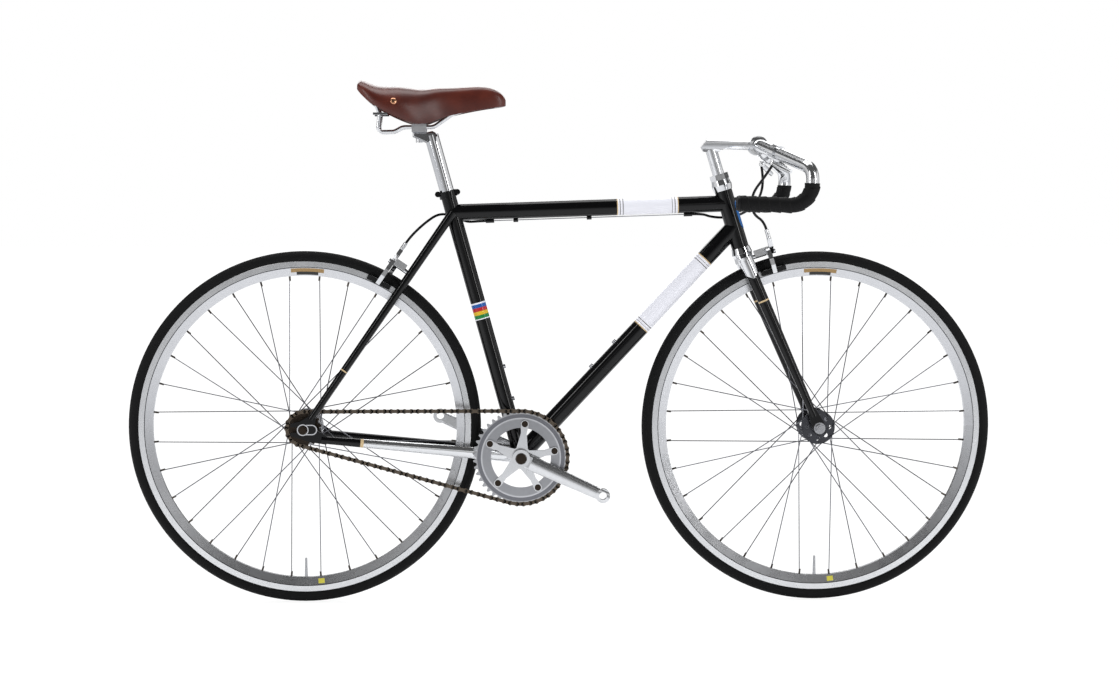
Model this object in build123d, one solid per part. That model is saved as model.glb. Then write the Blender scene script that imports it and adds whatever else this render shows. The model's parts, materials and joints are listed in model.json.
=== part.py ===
from build123d import *
import math
import os

# Single-speed road bicycle with a steel frame, quill stem, drop bar and leather saddle.
# Lengths are in millimetres. X points forward, Y to the rider's left, Z up.
# The sketch frame has its zero on the ground under the rear axle. The saddle's seat point is the origin.

# Wheels
TYRE_R = 336.0
TYRE_HALF_W = 12.5
TYRE_OVER_RIM = 19.8
TYRE_BEAD_LIP = 0.4
TYRE_SHOULDER = 0.72
TYRE_TREAD = 0.3
RIM_DEPTH = 27.0
RIM_TRACK = 10.5
RIM_HALF_W = 9.8
RIM_BED_HALF_W = 5.0
SPOKES = 32
SPOKE_D = 2.0
SPOKE_CROSSES = 3
SPOKE_HOLE_INSET = 3.5
SPOKE_LACE = 2.6
SPOKE_RIM_Y = 2.5
FLANGE_R = 32.5
FLANGE_T = 3.0
FLANGE_WAIST = 6.0
FRONT_FLANGE_Y = 33.0
REAR_FLANGE_Y = 31.0
FRONT_HUB_SHORT = 12.0
REAR_HUB_SHORT = 6.5
FLANGE_HOLES = 8
FLANGE_HOLE_D = 8.0
HUB_SHELL_R = 12.0
HUB_END_R = 15.0
VALVE_R = 3.0
VALVE_TIP_D = 4.5
VALVE_LEN = 36.0
RUN_GAP = 0.3
AXLE_D = 10.0
AXLE_PROUD = 12.0
CONE_D = 20.0
WASHER_D = 22.0
WASHER_T = 2.0
TRACK_NUT_R = 8.5
TRACK_NUT_H = 8.0

# Frame geometry
TOE_CLEAR = 24.09
STAY_CLEAR = 70.0
BB_DROP = 56.0
SEAT_ANGLE = 74.5
HEAD_ANGLE = 73.0
FORK_RAKE = 40.5
SEAT_TUBE_LEN = 525.0
TOP_TUBE_SEAT_BELOW = 41.9
TOP_TUBE_HEAD_BELOW = 25.6
DOWN_TUBE_HEAD_ABOVE = 40.8
SEAT_TUBE_D = 28.6
SEAT_TUBE_WALL = 0.6
TOP_TUBE_D = 31.8
DOWN_TUBE_D = 34.0
HEAD_TUBE_D = 33.0
HEAD_TUBE_BORE = 30.0
HEAD_TUBE_LEN = 114.0
BB_SHELL_D = 40.0
BB_SHELL_W = 68.0
BB_SHELL_BORE = 34.0
CHAIN_STAY_TALL = 25.0
CHAIN_STAY_WIDE = 15.0
CHAIN_STAY_END_D = 14.0
CHAIN_STAY_BB_Y = 23.0
CHAIN_STAY_BB_BEHIND = 16.0
CHAIN_STAY_BB_ABOVE = 1.0
SEAT_STAY_TOP_D = 17.0
SEAT_STAY_END_D = 13.0
SEAT_STAY_TOP_Y = 15.0
BRIDGE_D = 14.0
BRAKE_BRIDGE_CLEAR = 18.0
STAY_BRIDGE_CLEAR = 22.0
REAR_OLD = 120.0
FRONT_OLD = 100.0
DROPOUT_T = 6.0
TRACK_SLOT_LEN = 60.0
TRACK_END_BACK = [(-6, -17), (-23, -12), (-25, 0), (-23, 12), (-5, 16)]
TRACK_END_FRONT = [(13, 27), (25, 21), (21, 3), (47, -14), (44, -28), (18, -24)]
SEAT_STAY_FOOT = (14, 19)
CHAIN_STAY_FOOT = (34, -19)
FORK_END_OUTLINE = [(-11, -6), (-12, 8), (-7, 40), (7, 40), (12, 8), (11, -6), (6, -15), (-6, -15)]
FORK_SLOT_LEN = 30.0

# Fork and headset
CROWN_CLEAR = 16.0
CROWN_DEPTH = 11.0
CROWN_HALF_W = 42.0
CROWN_LENGTH = 30.0
BLADE_TOP_Y = 31.0
BLADE_TOP_LONG = 24.0
BLADE_TOP_WIDE = 19.0
BLADE_END_D = 14.0
BLADE_END_SHORT = 24.0
CROWN_SOCKET_WALL = 2.2
CROWN_SOCKET_LEN = 38.0
LUG_SLOPE = 0.9
LUG_REACH = 40.0
STEERER_D = 25.4
RACE_H = 7.0
LOWER_CUP_H = 12.0
UPPER_CUP_H = 11.0
UPPER_CONE_H = 10.0
LOCKNUT_H = 11.0
HEADSET_D = 40.0
LOWER_CUP_TOP_D = 35.0
UPPER_CUP_LOW_D = 35.0
UPPER_CUP_TOP_D = 39.0
CROWN_RACE_LOW_D = 36.0
CROWN_RACE_TOP_D = 39.0
CONE_LOW_D = 38.0
CONE_TOP_D = 34.0
LOCKNUT_R = 18.0

# Drive
PITCH = 12.7
RING_TEETH = 44
COG_TEETH = 16
CHAIN_W = 8.0
CHAIN_PIN_HALF_H = 4.2
CHAIN_WAIST_HALF_H = 3.3
CHAINLINE = 42.5
TOOTH_T = 2.4
TOOTH_TIP = 2.0
TOOTH_ROOT = 3.9
TOOTH_GAP = 0.5
TOOTH_ROOT_SHARE = 0.34
TOOTH_TIP_SHARE = 0.11
RING_INNER_R = 57.0
BOLT_CIRCLE_R = 65.0
BOLT_COUNT = 5
BOLT_D = 8.0
BOLT_HEAD_D = 12.0
BOLT_HEAD_H = 1.5
SPIDER_T = 5.0
SPIDER_ARM_W = 15.0
SPIDER_ROOT = (12.0, 12.0)
SPIDER_WAIST = (47.0, 5.5)
CRANK_LEN = 170.0
CRANK_ANGLE = -24.4
CRANK_BOSS_R = 17.0
CRANK_BOSS_T = 17.0
CRANK_EYE_R = 13.5
CRANK_EYE_T = 13.0
CRANK_EYE_OUT = 12.0
CRANK_ROOT_W = 30.0
CRANK_TIP_W = 22.0
CRANK_ROOT_T = 13.0
CRANK_TIP_T = 12.0
CRANK_EDGE = 4.0
SPIDER_HUB_R = 21.0
PEDAL_THREAD_R = 7.14
SPINDLE_R = 8.5
CRANK_Q_INNER = 47.0
CAP_R = 11.0
CAP_T = 4.0
CAP_TAPER = 3.0
CUP_D = 37.0
CUP_OUT = 5.0
CUP_IN = 12.0
BODY_R = 21.0
BODY_OUT = 6.0
BODY_BORE_R = 11.0

# Seat
POST_D = 27.2
POST_SHOW = 110.0
POST_INSERT = 90.0
POST_HEAD_FRONT = [(12.6, -14), (12.2, -2), (8.5, 4.5), (2, 8)]
POST_HEAD_BACK = [(-7.7, 5.6), (-35.7, 5.6), (-35.7, -3), (-11.6, -14)]
POST_HEAD_HALF_W = 12.6
POST_HEAD_EDGE = 3.0
COLLAR_D = 34.0
COLLAR_H = 13.0
COLLAR_EAR_D = 11.0
COLLAR_EAR_HALF = 11.0
COLLAR_EARS = [(-19.0, 0.0), (18.0, 5.0)]
CLAMP_BACK = 22.753
CLAMP_RISE = 15.095
CLAMP_LONG = 28.0
CLAMP_TALL = 15.0
CLAMP_SIDE = 7.0
CLAMP_FLOOR = 9.5
CLAMP_BOLT_D = 13.0
CLAMP_BOLT_TOP = 17.0
CLAMP_BOLT_LEN = 12.0
RAIL_Y = 22.0
RAIL_D = 7.0
SEAT_BACK = 16.5
SEAT_RISE = 73.0
SADDLE_WALL = 5.0
SADDLE_FLANK = (0.97, 0.55)
SADDLE_SHOULDER = (0.72, 0.12)
SADDLE_OPEN = 10.0
CANTLE_D = 8.0
NOSE_PIN_D = 10.0
NOSE_PIN_PROUD = 2.0
SHACKLE = (27.0, 16.0, 4.0)
SHACKLE_AT = (-56.0, 38.0, -49.0)

# Leather stations as (ahead of the seat point, half width, top, skirt)
SADDLE_STATIONS = [
    (-98.5, 58, 7, -4),
    (-93.5, 64, 14, -11),
    (-72.5, 74, 7, -30),
    (-37.5, 76, 2, -50),
    (2.5, 66, -0.4, -66),
    (42.5, 45, 0, -63),
    (87.5, 30, 2, -49),
    (132.5, 25, 4, -40),
    (159.5, 22, -1, -36),
    (173.5, 17, -10, -34),
    (180.5, 10, -21, -32),
]
SADDLE_SOLID_ENDS = 2

# Rail and cantle places, from the seat point
RAIL_POINTS = [
    (-71.5, 40, -13),
    (-57.5, 38, -49),
    (-61.5, 35, -83),
    (-30.5, 26, -82),
    (-14.5, RAIL_Y, -SEAT_RISE),
    (43.5, RAIL_Y, -SEAT_RISE),
    (80.5, 18, -47),
    (147.5, 7, -26),
]
RAIL_RADII = [12, 9, 20, 20, 20, 24]
CANTLE_END = (-68.5, 62, -22)
CANTLE_TOP = (-76.5, 0, -4)

# Handlebar
BAR_D = 23.8
TAPE_D = 30.0
BAR_RISE = 30.8
BAR_REACH = 87.2
BAR_HALF_W = 190.0
BAR_END_HALF_W = 195.0
BAR_STRAIGHT = 30.0
BAR_CORNER = (79.5, -47.5)
BAR_DROP = (76.5, -115.5)
BAR_END = (-56.5, -110.5)
BAR_TOP_RADIUS = 40.0
BAR_CORNER_RADIUS = 28.0
BAR_HOOK_RADIUS = 40.0
TAPE_START_BELOW = 73.5
PLUG_T = 5.0
PLUG_TAPER = 4.0
LEVER_S = 60.0
LEVER_LEN = 24.0
LEVER_SLEEVE_HALF = 8.0
LEVER_SLEEVE_WALL = 3.5
LEVER_BODY_D = 13.0
LEVER_BODY_END_D = 11.0
LEVER_PIVOT_SHORT = 4.0
LEVER_STATIONS = [(-6.0, 0.0, 9.0, 8.0), (30.0, 1.0, 11.0, 6.0), (62.0, 2.0, 8.0, 5.0)]
QUILL_D = 22.2
STEM_W = 24.0
STEM_CLAMP_R = 18.0
STEM_CLAMP_W = 38.0
STEM_TOP_ABOVE = 15.5
STEM_DEPTH = 23.0
STEM_EDGE = 6.0
STEM_HEEL = [(3, -27), (-1, -18), (13, 0)]
STEM_UNDER = [(42, -22), (28, -29)]
STEM_NOSE = (-3.0, -24.0)

# Brakes and cables
CABLE_D = 5.0
WIRE_D = 2.0
BRAKE_ARM_W = 10.0
BRAKE_ARM_T = 8.0
BRAKE_ARM_Y = 33.0
BRAKE_SHOULDER = (0.7, 4.0)
BRAKE_KNEES = (0.6, 1.3)
BRAKE_TIP = (0.9, 3.0)
CABLE_ARM_ELBOW = 0.8
BRAKE_BEND = 7.0
FRONT_BRAKE_OUT = 36.0
REAR_BRAKE_OUT = 30.0
BRAKE_BOLT_PROUD = 4.0
YOKE_W = 16.0
YOKE_LOW = 2.0
YOKE_TALL = 13.0
YOKE_SHORT = 7.0
CABLE_ARM_Y = 24.0
CABLE_ARM_UP = 27.0
ADJUSTER_D = 8.0
ADJUSTER_LEN = 17.0
PAD_STUD_D = 6.0
PAD_T = 9.0
PAD_LEN = 48.0
PAD_H = 9.0
PAD_GAP = 2.5
BOSS_D = 9.0
BOSS_BORE = 5.0
BOSS_OUT = 4.0
BOSS_DEPTH = 10.0
BOSS_PITCH = 64.0
SEAT_BOSS_S = 110.0
DOWN_BOSS_S = 218.0
STOP_D = 8.0
STOP_LEN = 16.0
FRONT_STOP_BACK = 75.0
REAR_STOP_AHEAD = 70.7
GUIDE_SHARES = (0.5, 0.13)
GUIDE_LEN = 9.0
HOUSING_LEAD = 16.0
HOUSING_BEND = 0.45

# Cable corners, from the bar clamp, the front stop and the top tube's seat end
LOOP_FROM_CLAMP = [(22, 76, -64), (14, 58, -97), (-8, 44, -121)]
LOOP_FROM_STOP = [(92, 33, -3), (62, 24, -7), (36, 12, -5)]
LOOP_LEAD = 20.0
LEAD_FROM_CLAMP = [(4, -74, -62), (-14, -56, -88), (-16, -40, -112), (-9, -28, -132)]
TAIL_LEAD = 14.0
TAIL_FROM_SEAT = [(25.7, 20, -18.5), (1.7, 29, -6.5), (-26.3, 30, -1.5), (-52.3, 28, -18.5)]

# Directions
left = Vector(0, 1, 0)
seat_dir = Vector(-math.cos(math.radians(SEAT_ANGLE)), 0, math.sin(math.radians(SEAT_ANGLE)))
steer_dir = Vector(-math.cos(math.radians(HEAD_ANGLE)), 0, math.sin(math.radians(HEAD_ANGLE)))
steer_out = Vector(math.sin(math.radians(HEAD_ANGLE)), 0, math.cos(math.radians(HEAD_ANGLE)))
lever_back = Vector(-0.3, 0, -0.954)
SIDES = {"right": -1, "left": 1}

# Sizes that follow the wheels
RIM_R = TYRE_R - TYRE_OVER_RIM
TYRE_BEAD_R = RIM_R + TYRE_BEAD_LIP
BRAKE_BRIDGE_R = TYRE_R + BRAKE_BRIDGE_CLEAR
STAY_BRIDGE_R = TYRE_R + STAY_BRIDGE_CLEAR
CROWN_RACE_H = TYRE_R + CROWN_CLEAR
head_low_t = CROWN_RACE_H + RACE_H + LOWER_CUP_H
head_high_t = head_low_t + HEAD_TUBE_LEN
nut_top_t = head_high_t + UPPER_CUP_H + UPPER_CONE_H + LOCKNUT_H


def stay_length(links):
    """Axle distance that a chain of that many links fits without slack."""
    tooth_difference = (RING_TEETH - COG_TEETH) / (2 * math.pi)
    free_links = links - (RING_TEETH + COG_TEETH) / 2
    return PITCH * (free_links + math.sqrt(free_links**2 - 8 * tooth_difference**2)) / 4


def fewest_links():
    """Shortest chain of whole link pairs that leaves room for the rear tyre."""
    links = RING_TEETH + COG_TEETH
    while stay_length(links) < TYRE_R + STAY_CLEAR:
        links = links + 2
    return links


LINKS = fewest_links()
CHAIN_STAY_LEN = stay_length(LINKS)
ring_r = PITCH / (2 * math.sin(math.pi / RING_TEETH))
cog_r = PITCH / (2 * math.sin(math.pi / COG_TEETH))
rear_axle = Vector(0, 0, TYRE_R)
bb = Vector(math.sqrt(CHAIN_STAY_LEN**2 - BB_DROP**2), 0, TYRE_R - BB_DROP)


def toe_gap(wheelbase):
    """Gap between the front tyre and the down tube for one wheelbase."""
    axle = Vector(wheelbase, 0, TYRE_R)
    top = axle - steer_out * FORK_RAKE + steer_dir * (head_low_t + DOWN_TUBE_HEAD_ABOVE)
    along = (top - bb).normalized()
    reach = axle - bb
    off = reach - along * reach.dot(along)
    return off.length - TYRE_R - DOWN_TUBE_D / 2


def shortest_wheelbase():
    """Wheelbase at which the front tyre just keeps its clearance."""
    near = bb.X + TYRE_R
    far = bb.X + 3 * TYRE_R
    for _ in range(50):
        middle = (near + far) / 2
        if toe_gap(middle) < TOE_CLEAR:
            near = middle
        else:
            far = middle
    return far


WHEELBASE = shortest_wheelbase()
front_axle = Vector(WHEELBASE, 0, TYRE_R)
steer_foot = front_axle - steer_out * FORK_RAKE


def on_seat(s):
    """Point on the seat tube's axis, s above the bottom bracket."""
    return bb + seat_dir * s


def on_steer(t):
    """Point on the steering axis, t above the foot of the front axle."""
    return steer_foot + steer_dir * t


# Places that follow the frame
top_a = on_seat(SEAT_TUBE_LEN - TOP_TUBE_SEAT_BELOW)
top_b = on_steer(head_high_t - TOP_TUBE_HEAD_BELOW)
down_b = on_steer(head_low_t + DOWN_TUBE_HEAD_ABOVE)
bar_clamp = on_steer(nut_top_t + BAR_RISE) + steer_out * BAR_REACH
post_head = on_seat(SEAT_TUBE_LEN + POST_SHOW)
rail_clamp = post_head + Vector(-CLAMP_BACK, 0, CLAMP_RISE)
seat_point = rail_clamp + Vector(-SEAT_BACK, 0, SEAT_RISE)
front_stop_x = top_b.X - FRONT_STOP_BACK
rear_stop_x = top_a.X + REAR_STOP_AHEAD


def save(node, shape):
    """Write one named piece, moved so that the seat point is the origin."""
    export_step(Pos(-seat_point) * shape, os.path.join("parts", node + ".step"))


def axis_at_z(origin, direction, z):
    """Point where a line reaches the height z."""
    return origin + direction * ((z - origin.Z) / direction.Z)


def rod(a, b, d0, d1=None):
    """Round bar or taper between two points."""
    run = b - a
    base = (Align.CENTER, Align.CENTER, Align.MIN)
    if d1 is None:
        body = Cylinder(d0 / 2, run.length, align=base)
    else:
        body = Cone(d0 / 2, d1 / 2, run.length, align=base)
    return Plane(origin=a, z_dir=run) * body


def ring(a, b, outer_d, inner_d):
    """Sleeve between two points."""
    return rod(a, b, outer_d) - rod(a, b, inner_d)


def turned(points, centre):
    """Solid turned about an axle along Y, from (radius, y) points."""
    profile = make_face(Polyline(*points, close=True))
    return Pos(centre) * revolve(profile, Axis.Y)


def oval_tube(stations):
    """Taper through oval sections, given as (point, size across, size along Y)."""
    run = stations[-1][0] - stations[0][0]
    across = left.cross(run).normalized()
    faces = []
    for place, tall, wide in stations:
        faces.append(Plane(origin=place, x_dir=across, z_dir=run) * Ellipse(tall / 2, wide / 2))
    return loft(faces, ruled=True)


def bent(points, radii, d):
    """Round bar along straight runs that are joined by arcs."""
    path = FilletPolyline(*points, radius=radii)
    return sweep(Plane(origin=path @ 0, z_dir=path % 0) * Circle(d / 2), path=path)


def plate(points, y0, y1):
    """Flat plate in the X-Z plane between two Y values."""
    face = make_face(Polyline(*[Vector(x, y0, z) for x, z in points], close=True))
    return extrude(face, amount=abs(y1 - y0), dir=(0, math.copysign(1, y1 - y0), 0))


def from_point(base, offset, side=1):
    """Point at an (x, y, z) offset, with y mirrored for the right side."""
    x, y, z = offset
    return base + Vector(x, side * y, z)


# Main triangle
def frame_tubes():
    head_low = on_steer(head_low_t)
    head_high = on_steer(head_high_t)
    head = ring(head_low, head_high, HEAD_TUBE_D, HEAD_TUBE_BORE)
    head_solid = rod(head_low, head_high, HEAD_TUBE_D)
    shell_ends = (bb - left * (BB_SHELL_W / 2), bb + left * (BB_SHELL_W / 2))
    shell_solid = rod(*shell_ends, BB_SHELL_D)
    shell = ring(*shell_ends, BB_SHELL_D, BB_SHELL_BORE)
    seat_top = on_seat(SEAT_TUBE_LEN)
    post_foot = on_seat(SEAT_TUBE_LEN - POST_INSERT)
    seat_solid = rod(bb, seat_top, SEAT_TUBE_D)
    seat = seat_solid - shell_solid - rod(post_foot, seat_top, SEAT_TUBE_D - 2 * SEAT_TUBE_WALL)
    top = rod(top_a, top_b, TOP_TUBE_D) - seat_solid - head_solid
    down = rod(bb, down_b, DOWN_TUBE_D) - shell_solid - head_solid - seat_solid
    down = down - rod(top_a, top_b, TOP_TUBE_D)
    return {
        "head_tube": head,
        "seat_tube": seat,
        "top_tube": keep_largest(top),
        "down_tube": keep_largest(down),
        "bottom_bracket_shell": shell,
    }


def keep_largest(shape):
    """The tube itself, without the stubs left on the far side of a mitre."""
    return max(shape.solids(), key=lambda s: s.volume)


# Rear triangle
def dropout_face_y(side, old):
    return side * old / 2


def rear_dropout(side):
    inner = dropout_face_y(side, REAR_OLD)
    slot_half = AXLE_D / 2 + RUN_GAP
    outline = TRACK_END_BACK + TRACK_END_FRONT
    corners = [(rear_axle.X + x, rear_axle.Z + z) for x, z in outline]
    body = plate(corners, inner, inner + side * DROPOUT_T)
    middle = rear_axle + left * (inner + side * DROPOUT_T / 2)
    slot = Pos(middle) * Pos(-TRACK_SLOT_LEN / 2, 0, 0) * Box(TRACK_SLOT_LEN, 3 * DROPOUT_T, 2 * slot_half)
    slot_end = rod(middle - left * (2 * DROPOUT_T), middle + left * (2 * DROPOUT_T), 2 * slot_half)
    return body - slot - slot_end


def stay_foot(side, x, z):
    """Centre of a stay's lower end, in the middle of the dropout plate."""
    return Vector(rear_axle.X + x, side * (REAR_OLD / 2 + DROPOUT_T / 2), rear_axle.Z + z)


def seat_stay_axis(side):
    return stay_foot(side, *SEAT_STAY_FOOT), top_a + left * (side * SEAT_STAY_TOP_Y)


def chain_stay_axis(side):
    nose = bb + Vector(-CHAIN_STAY_BB_BEHIND, side * CHAIN_STAY_BB_Y, CHAIN_STAY_BB_ABOVE)
    return stay_foot(side, *CHAIN_STAY_FOOT), nose


def rear_stays(tubes):
    shell_solid = rod(bb - left * (BB_SHELL_W / 2), bb + left * (BB_SHELL_W / 2), BB_SHELL_D)
    seat_solid = rod(bb, on_seat(SEAT_TUBE_LEN), SEAT_TUBE_D)
    pieces = {}
    for name, side in SIDES.items():
        drop = rear_dropout(side)
        foot, nose = chain_stay_axis(side)
        small = (foot, CHAIN_STAY_END_D, CHAIN_STAY_END_D)
        large = (nose, CHAIN_STAY_TALL, CHAIN_STAY_WIDE)
        chain_stay = oval_tube([small, large])
        chain_stay = keep_largest(chain_stay - shell_solid - drop - seat_solid)
        foot, top = seat_stay_axis(side)
        small = (foot, SEAT_STAY_END_D, SEAT_STAY_END_D)
        large = (top, SEAT_STAY_TOP_D, SEAT_STAY_TOP_D)
        seat_stay = oval_tube([small, large])
        seat_stay = keep_largest(seat_stay - seat_solid - tubes["top_tube"] - drop)
        pieces[name + "_rear_dropout"] = drop
        pieces[name + "_chain_stay"] = chain_stay
        pieces[name + "_seat_stay"] = seat_stay
    return pieces


def bridge_point(axis, radius):
    """Middle-plane point where a pair of stays is that far from the rear axle."""
    foot, top = axis
    run = top - foot
    near, far = 0.0, 1.0
    for _ in range(40):
        mid = (near + far) / 2
        p = foot + run * mid
        if math.hypot(p.X - rear_axle.X, p.Z - rear_axle.Z) < radius:
            near = mid
        else:
            far = mid
    return foot + run * near


def bridges(stays):
    solids = []
    seat_pair = (seat_stay_axis(1), BRAKE_BRIDGE_R, "seat")
    chain_pair = (chain_stay_axis(1), STAY_BRIDGE_R, "chain")
    for axis, radius, kind in (seat_pair, chain_pair):
        p = bridge_point(axis, radius)
        bar = rod(Vector(p.X, -p.Y, p.Z), p, BRIDGE_D)
        for name in SIDES:
            bar = bar - stays[f"{name}_{kind}_stay"]
        solids.append(keep_largest(bar))
    return Compound(children=solids)


# Headset, fork and stem
def headset():
    race = CROWN_RACE_H
    cup_top = head_high_t + UPPER_CUP_H
    cups = []
    bore = STEERER_D + 2 * RUN_GAP
    lower = rod(on_steer(race + RACE_H + RUN_GAP), on_steer(head_low_t), HEADSET_D, LOWER_CUP_TOP_D)
    upper = rod(on_steer(head_high_t), on_steer(cup_top), UPPER_CUP_LOW_D, UPPER_CUP_TOP_D)
    for cup in (lower, upper):
        cups.append(cup - rod(on_steer(race), on_steer(cup_top), bore))
    races = []
    steerer = rod(on_steer(race), on_steer(nut_top_t), STEERER_D)
    crown_race = rod(on_steer(race), on_steer(race + RACE_H), CROWN_RACE_LOW_D, CROWN_RACE_TOP_D)
    cone_a = cup_top + RUN_GAP
    cone_b = cup_top + UPPER_CONE_H
    cone = rod(on_steer(cone_a), on_steer(cone_b), CONE_LOW_D, CONE_TOP_D)
    plane = Plane(origin=on_steer(cone_b), x_dir=steer_out, z_dir=steer_dir)
    nut = plane * extrude(RegularPolygon(LOCKNUT_R, 6), LOCKNUT_H)
    for piece in (crown_race, cone + nut):
        races.append(piece - steerer)
    return Compound(children=cups), Compound(children=races)


def blade_axis(side):
    top = on_steer(CROWN_RACE_H - CROWN_DEPTH / 2) + left * (side * BLADE_TOP_Y)
    foot = front_axle + left * (side * (FRONT_OLD / 2 + DROPOUT_T / 2))
    run = (top - foot).normalized()
    return top, foot + run * BLADE_END_SHORT, run


def fork_dropout(side):
    inner = dropout_face_y(side, FRONT_OLD)
    top, foot, run = blade_axis(side)
    lean = Vector(run.X, 0, run.Z).normalized()
    flat = left.cross(lean)
    corners = [front_axle + flat * a + lean * b for a, b in FORK_END_OUTLINE]
    body = plate([(p.X, p.Z) for p in corners], inner, inner + side * DROPOUT_T)
    slot_half = AXLE_D / 2 + RUN_GAP
    middle = front_axle + left * (inner + side * DROPOUT_T / 2)
    slot_plane = Plane(origin=middle - lean * (FORK_SLOT_LEN / 2), x_dir=flat, z_dir=lean)
    slot = slot_plane * Box(2 * slot_half, 3 * DROPOUT_T, FORK_SLOT_LEN)
    slot_end = rod(middle - left * (2 * DROPOUT_T), middle + left * (2 * DROPOUT_T), 2 * slot_half)
    return body - slot - slot_end


def lug_cuts(tip, run, side):
    """Wedges that leave a socket with one point, low on its middle."""
    lean = Vector(run.X, 0, run.Z).normalized()
    flat = left.cross(lean)
    cuts = []
    for end in (-1, 1):
        far = tip + flat * (end * LUG_REACH)
        corners = [tip - lean, far - lean, far + lean * (LUG_SLOPE * LUG_REACH)]
        cuts.append(plate([(p.X, p.Z) for p in corners], 0, side * 2 * CROWN_HALF_W))
    return cuts


def fork():
    pieces = {}
    crown_top = on_steer(CROWN_RACE_H)
    crown_plane = Plane(origin=crown_top, x_dir=steer_out, z_dir=steer_dir)
    deck = SlotOverall(2 * CROWN_HALF_W, CROWN_LENGTH, rotation=90)
    crown = crown_plane * extrude(deck, -CROWN_DEPTH)
    crown = crown + rod(on_steer(CROWN_RACE_H - 1), on_steer(nut_top_t), STEERER_D)
    drops = []
    for name, side in SIDES.items():
        top, foot, run = blade_axis(side)
        drop = fork_dropout(side)
        mid = top - run * CROWN_SOCKET_LEN
        wall = 2 * CROWN_SOCKET_WALL
        small = (foot, BLADE_END_D, BLADE_END_D)
        blade = oval_tube([small, (top, BLADE_TOP_LONG, BLADE_TOP_WIDE)])
        reach = (top - foot).length
        share = 1 - CROWN_SOCKET_LEN / reach
        mid_long = BLADE_END_D + (BLADE_TOP_LONG - BLADE_END_D) * share
        mid_wide = BLADE_END_D + (BLADE_TOP_WIDE - BLADE_END_D) * share
        large = (top, BLADE_TOP_LONG + wall, BLADE_TOP_WIDE + wall)
        socket = oval_tube([(mid, mid_long + wall, mid_wide + wall), large])
        for cut in lug_cuts(mid, run, side):
            socket = socket - cut
        crown = crown + socket
        pieces[name + "_fork_blade"] = (blade, drop)
        drops.append(drop)
    for name in SIDES:
        blade, drop = pieces[name + "_fork_blade"]
        crown = crown - blade
        pieces[name + "_fork_blade"] = keep_largest(blade - drop)
    pieces["fork_crown"] = keep_largest(crown)
    pieces["fork_dropouts"] = Compound(children=drops)
    return pieces


def stem():
    top_z = bar_clamp.Z + STEM_TOP_ABOVE
    quill_top = axis_at_z(steer_foot, steer_dir, top_z - STEM_DEPTH / 2)
    quill = rod(on_steer(nut_top_t), quill_top, QUILL_D)
    heel_x = axis_at_z(steer_foot, steer_dir, top_z).X - QUILL_D / 2
    outline = [(heel_x + x, top_z + z) for x, z in STEM_HEEL]
    outline += [(bar_clamp.X, top_z + z) for z in STEM_NOSE]
    outline += [(heel_x + x, top_z + z) for x, z in STEM_UNDER]
    arm = plate(outline, -STEM_W / 2, STEM_W / 2)
    flanks = arm.edges().filter_by(lambda e: abs((e % 0.5).Y) < 0.01 and e.length > STEM_DEPTH)
    arm = chamfer(flanks, STEM_EDGE)
    half = left * (STEM_CLAMP_W / 2)
    clamp = rod(bar_clamp - half, bar_clamp + half, 2 * STEM_CLAMP_R)
    body = quill + arm + clamp
    return body - rod(bar_clamp - half * 2, bar_clamp + half * 2, BAR_D)


# Handlebar
def bar_half(side):
    points = [bar_clamp + left * (side * BAR_STRAIGHT)]
    for (x, z), half_w in ((BAR_CORNER, BAR_HALF_W), (BAR_DROP, BAR_HALF_W), (BAR_END, BAR_END_HALF_W)):
        points.append(from_point(bar_clamp, (x, half_w, z), side))
    return points


def handlebar():
    right = bar_half(-1)
    points = right[::-1] + bar_half(1)
    radii = [BAR_HOOK_RADIUS, BAR_CORNER_RADIUS, BAR_TOP_RADIUS]
    bar = bent(points, radii + radii[::-1], BAR_D)
    tapes = []
    plugs = []
    for side in SIDES.values():
        corner, drop, end = bar_half(side)[1:]
        run = drop - corner
        start = corner + run * ((bar_clamp.Z - TAPE_START_BELOW - corner.Z) / run.Z)
        tape = bent([start, drop, end], [BAR_HOOK_RADIUS], TAPE_D)
        tapes.append(keep_largest(tape - bar))
        out = (end - drop).normalized()
        plugs.append(rod(end, end + out * PLUG_T, TAPE_D, TAPE_D - PLUG_TAPER))
    return bar, Compound(children=tapes), Compound(children=plugs)


def brake_levers(bar):
    """Pair of levers on the bar's tops, beside the stem."""
    solids = []
    for side in SIDES.values():
        a, b = bar_half(side)[:2]
        run = (b - a).normalized()
        mid = a + run * LEVER_S
        half = run * LEVER_SLEEVE_HALF
        sleeve = ring(mid - half, mid + half, BAR_D + 2 * LEVER_SLEEVE_WALL, BAR_D)
        outlet = mid + lever_back * LEVER_LEN
        body = rod(mid + lever_back * (BAR_D / 2 + 1), outlet, LEVER_BODY_D, LEVER_BODY_END_D)
        pivot = mid + lever_back * (LEVER_LEN - LEVER_PIVOT_SHORT)
        stations = []
        for along, off, tall, wide in LEVER_STATIONS:
            stations.append((pivot + run * along + lever_back * off, tall, wide))
        blade = oval_tube(stations)
        solids.append(keep_largest((sleeve + body + blade) - bar))
    return Compound(children=solids)


# Wheels
def tyre(centre):
    w = TYRE_HALF_W
    shoulder = TYRE_SHOULDER * w
    half = [(TYRE_BEAD_R, shoulder), (TYRE_R - w, w), (TYRE_R - TYRE_TREAD * w, shoulder)]
    other = [(r, -y) for r, y in half[::-1]]
    return turned(half + [(TYRE_R, 0)] + other, centre)


def rim(centre):
    inner = RIM_R - RIM_DEPTH
    half = [(RIM_R, RIM_HALF_W), (RIM_R - RIM_TRACK, RIM_HALF_W), (inner, RIM_BED_HALF_W)]
    other = [(r, -y) for r, y in half[::-1]]
    return turned(half + other, centre)


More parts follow.
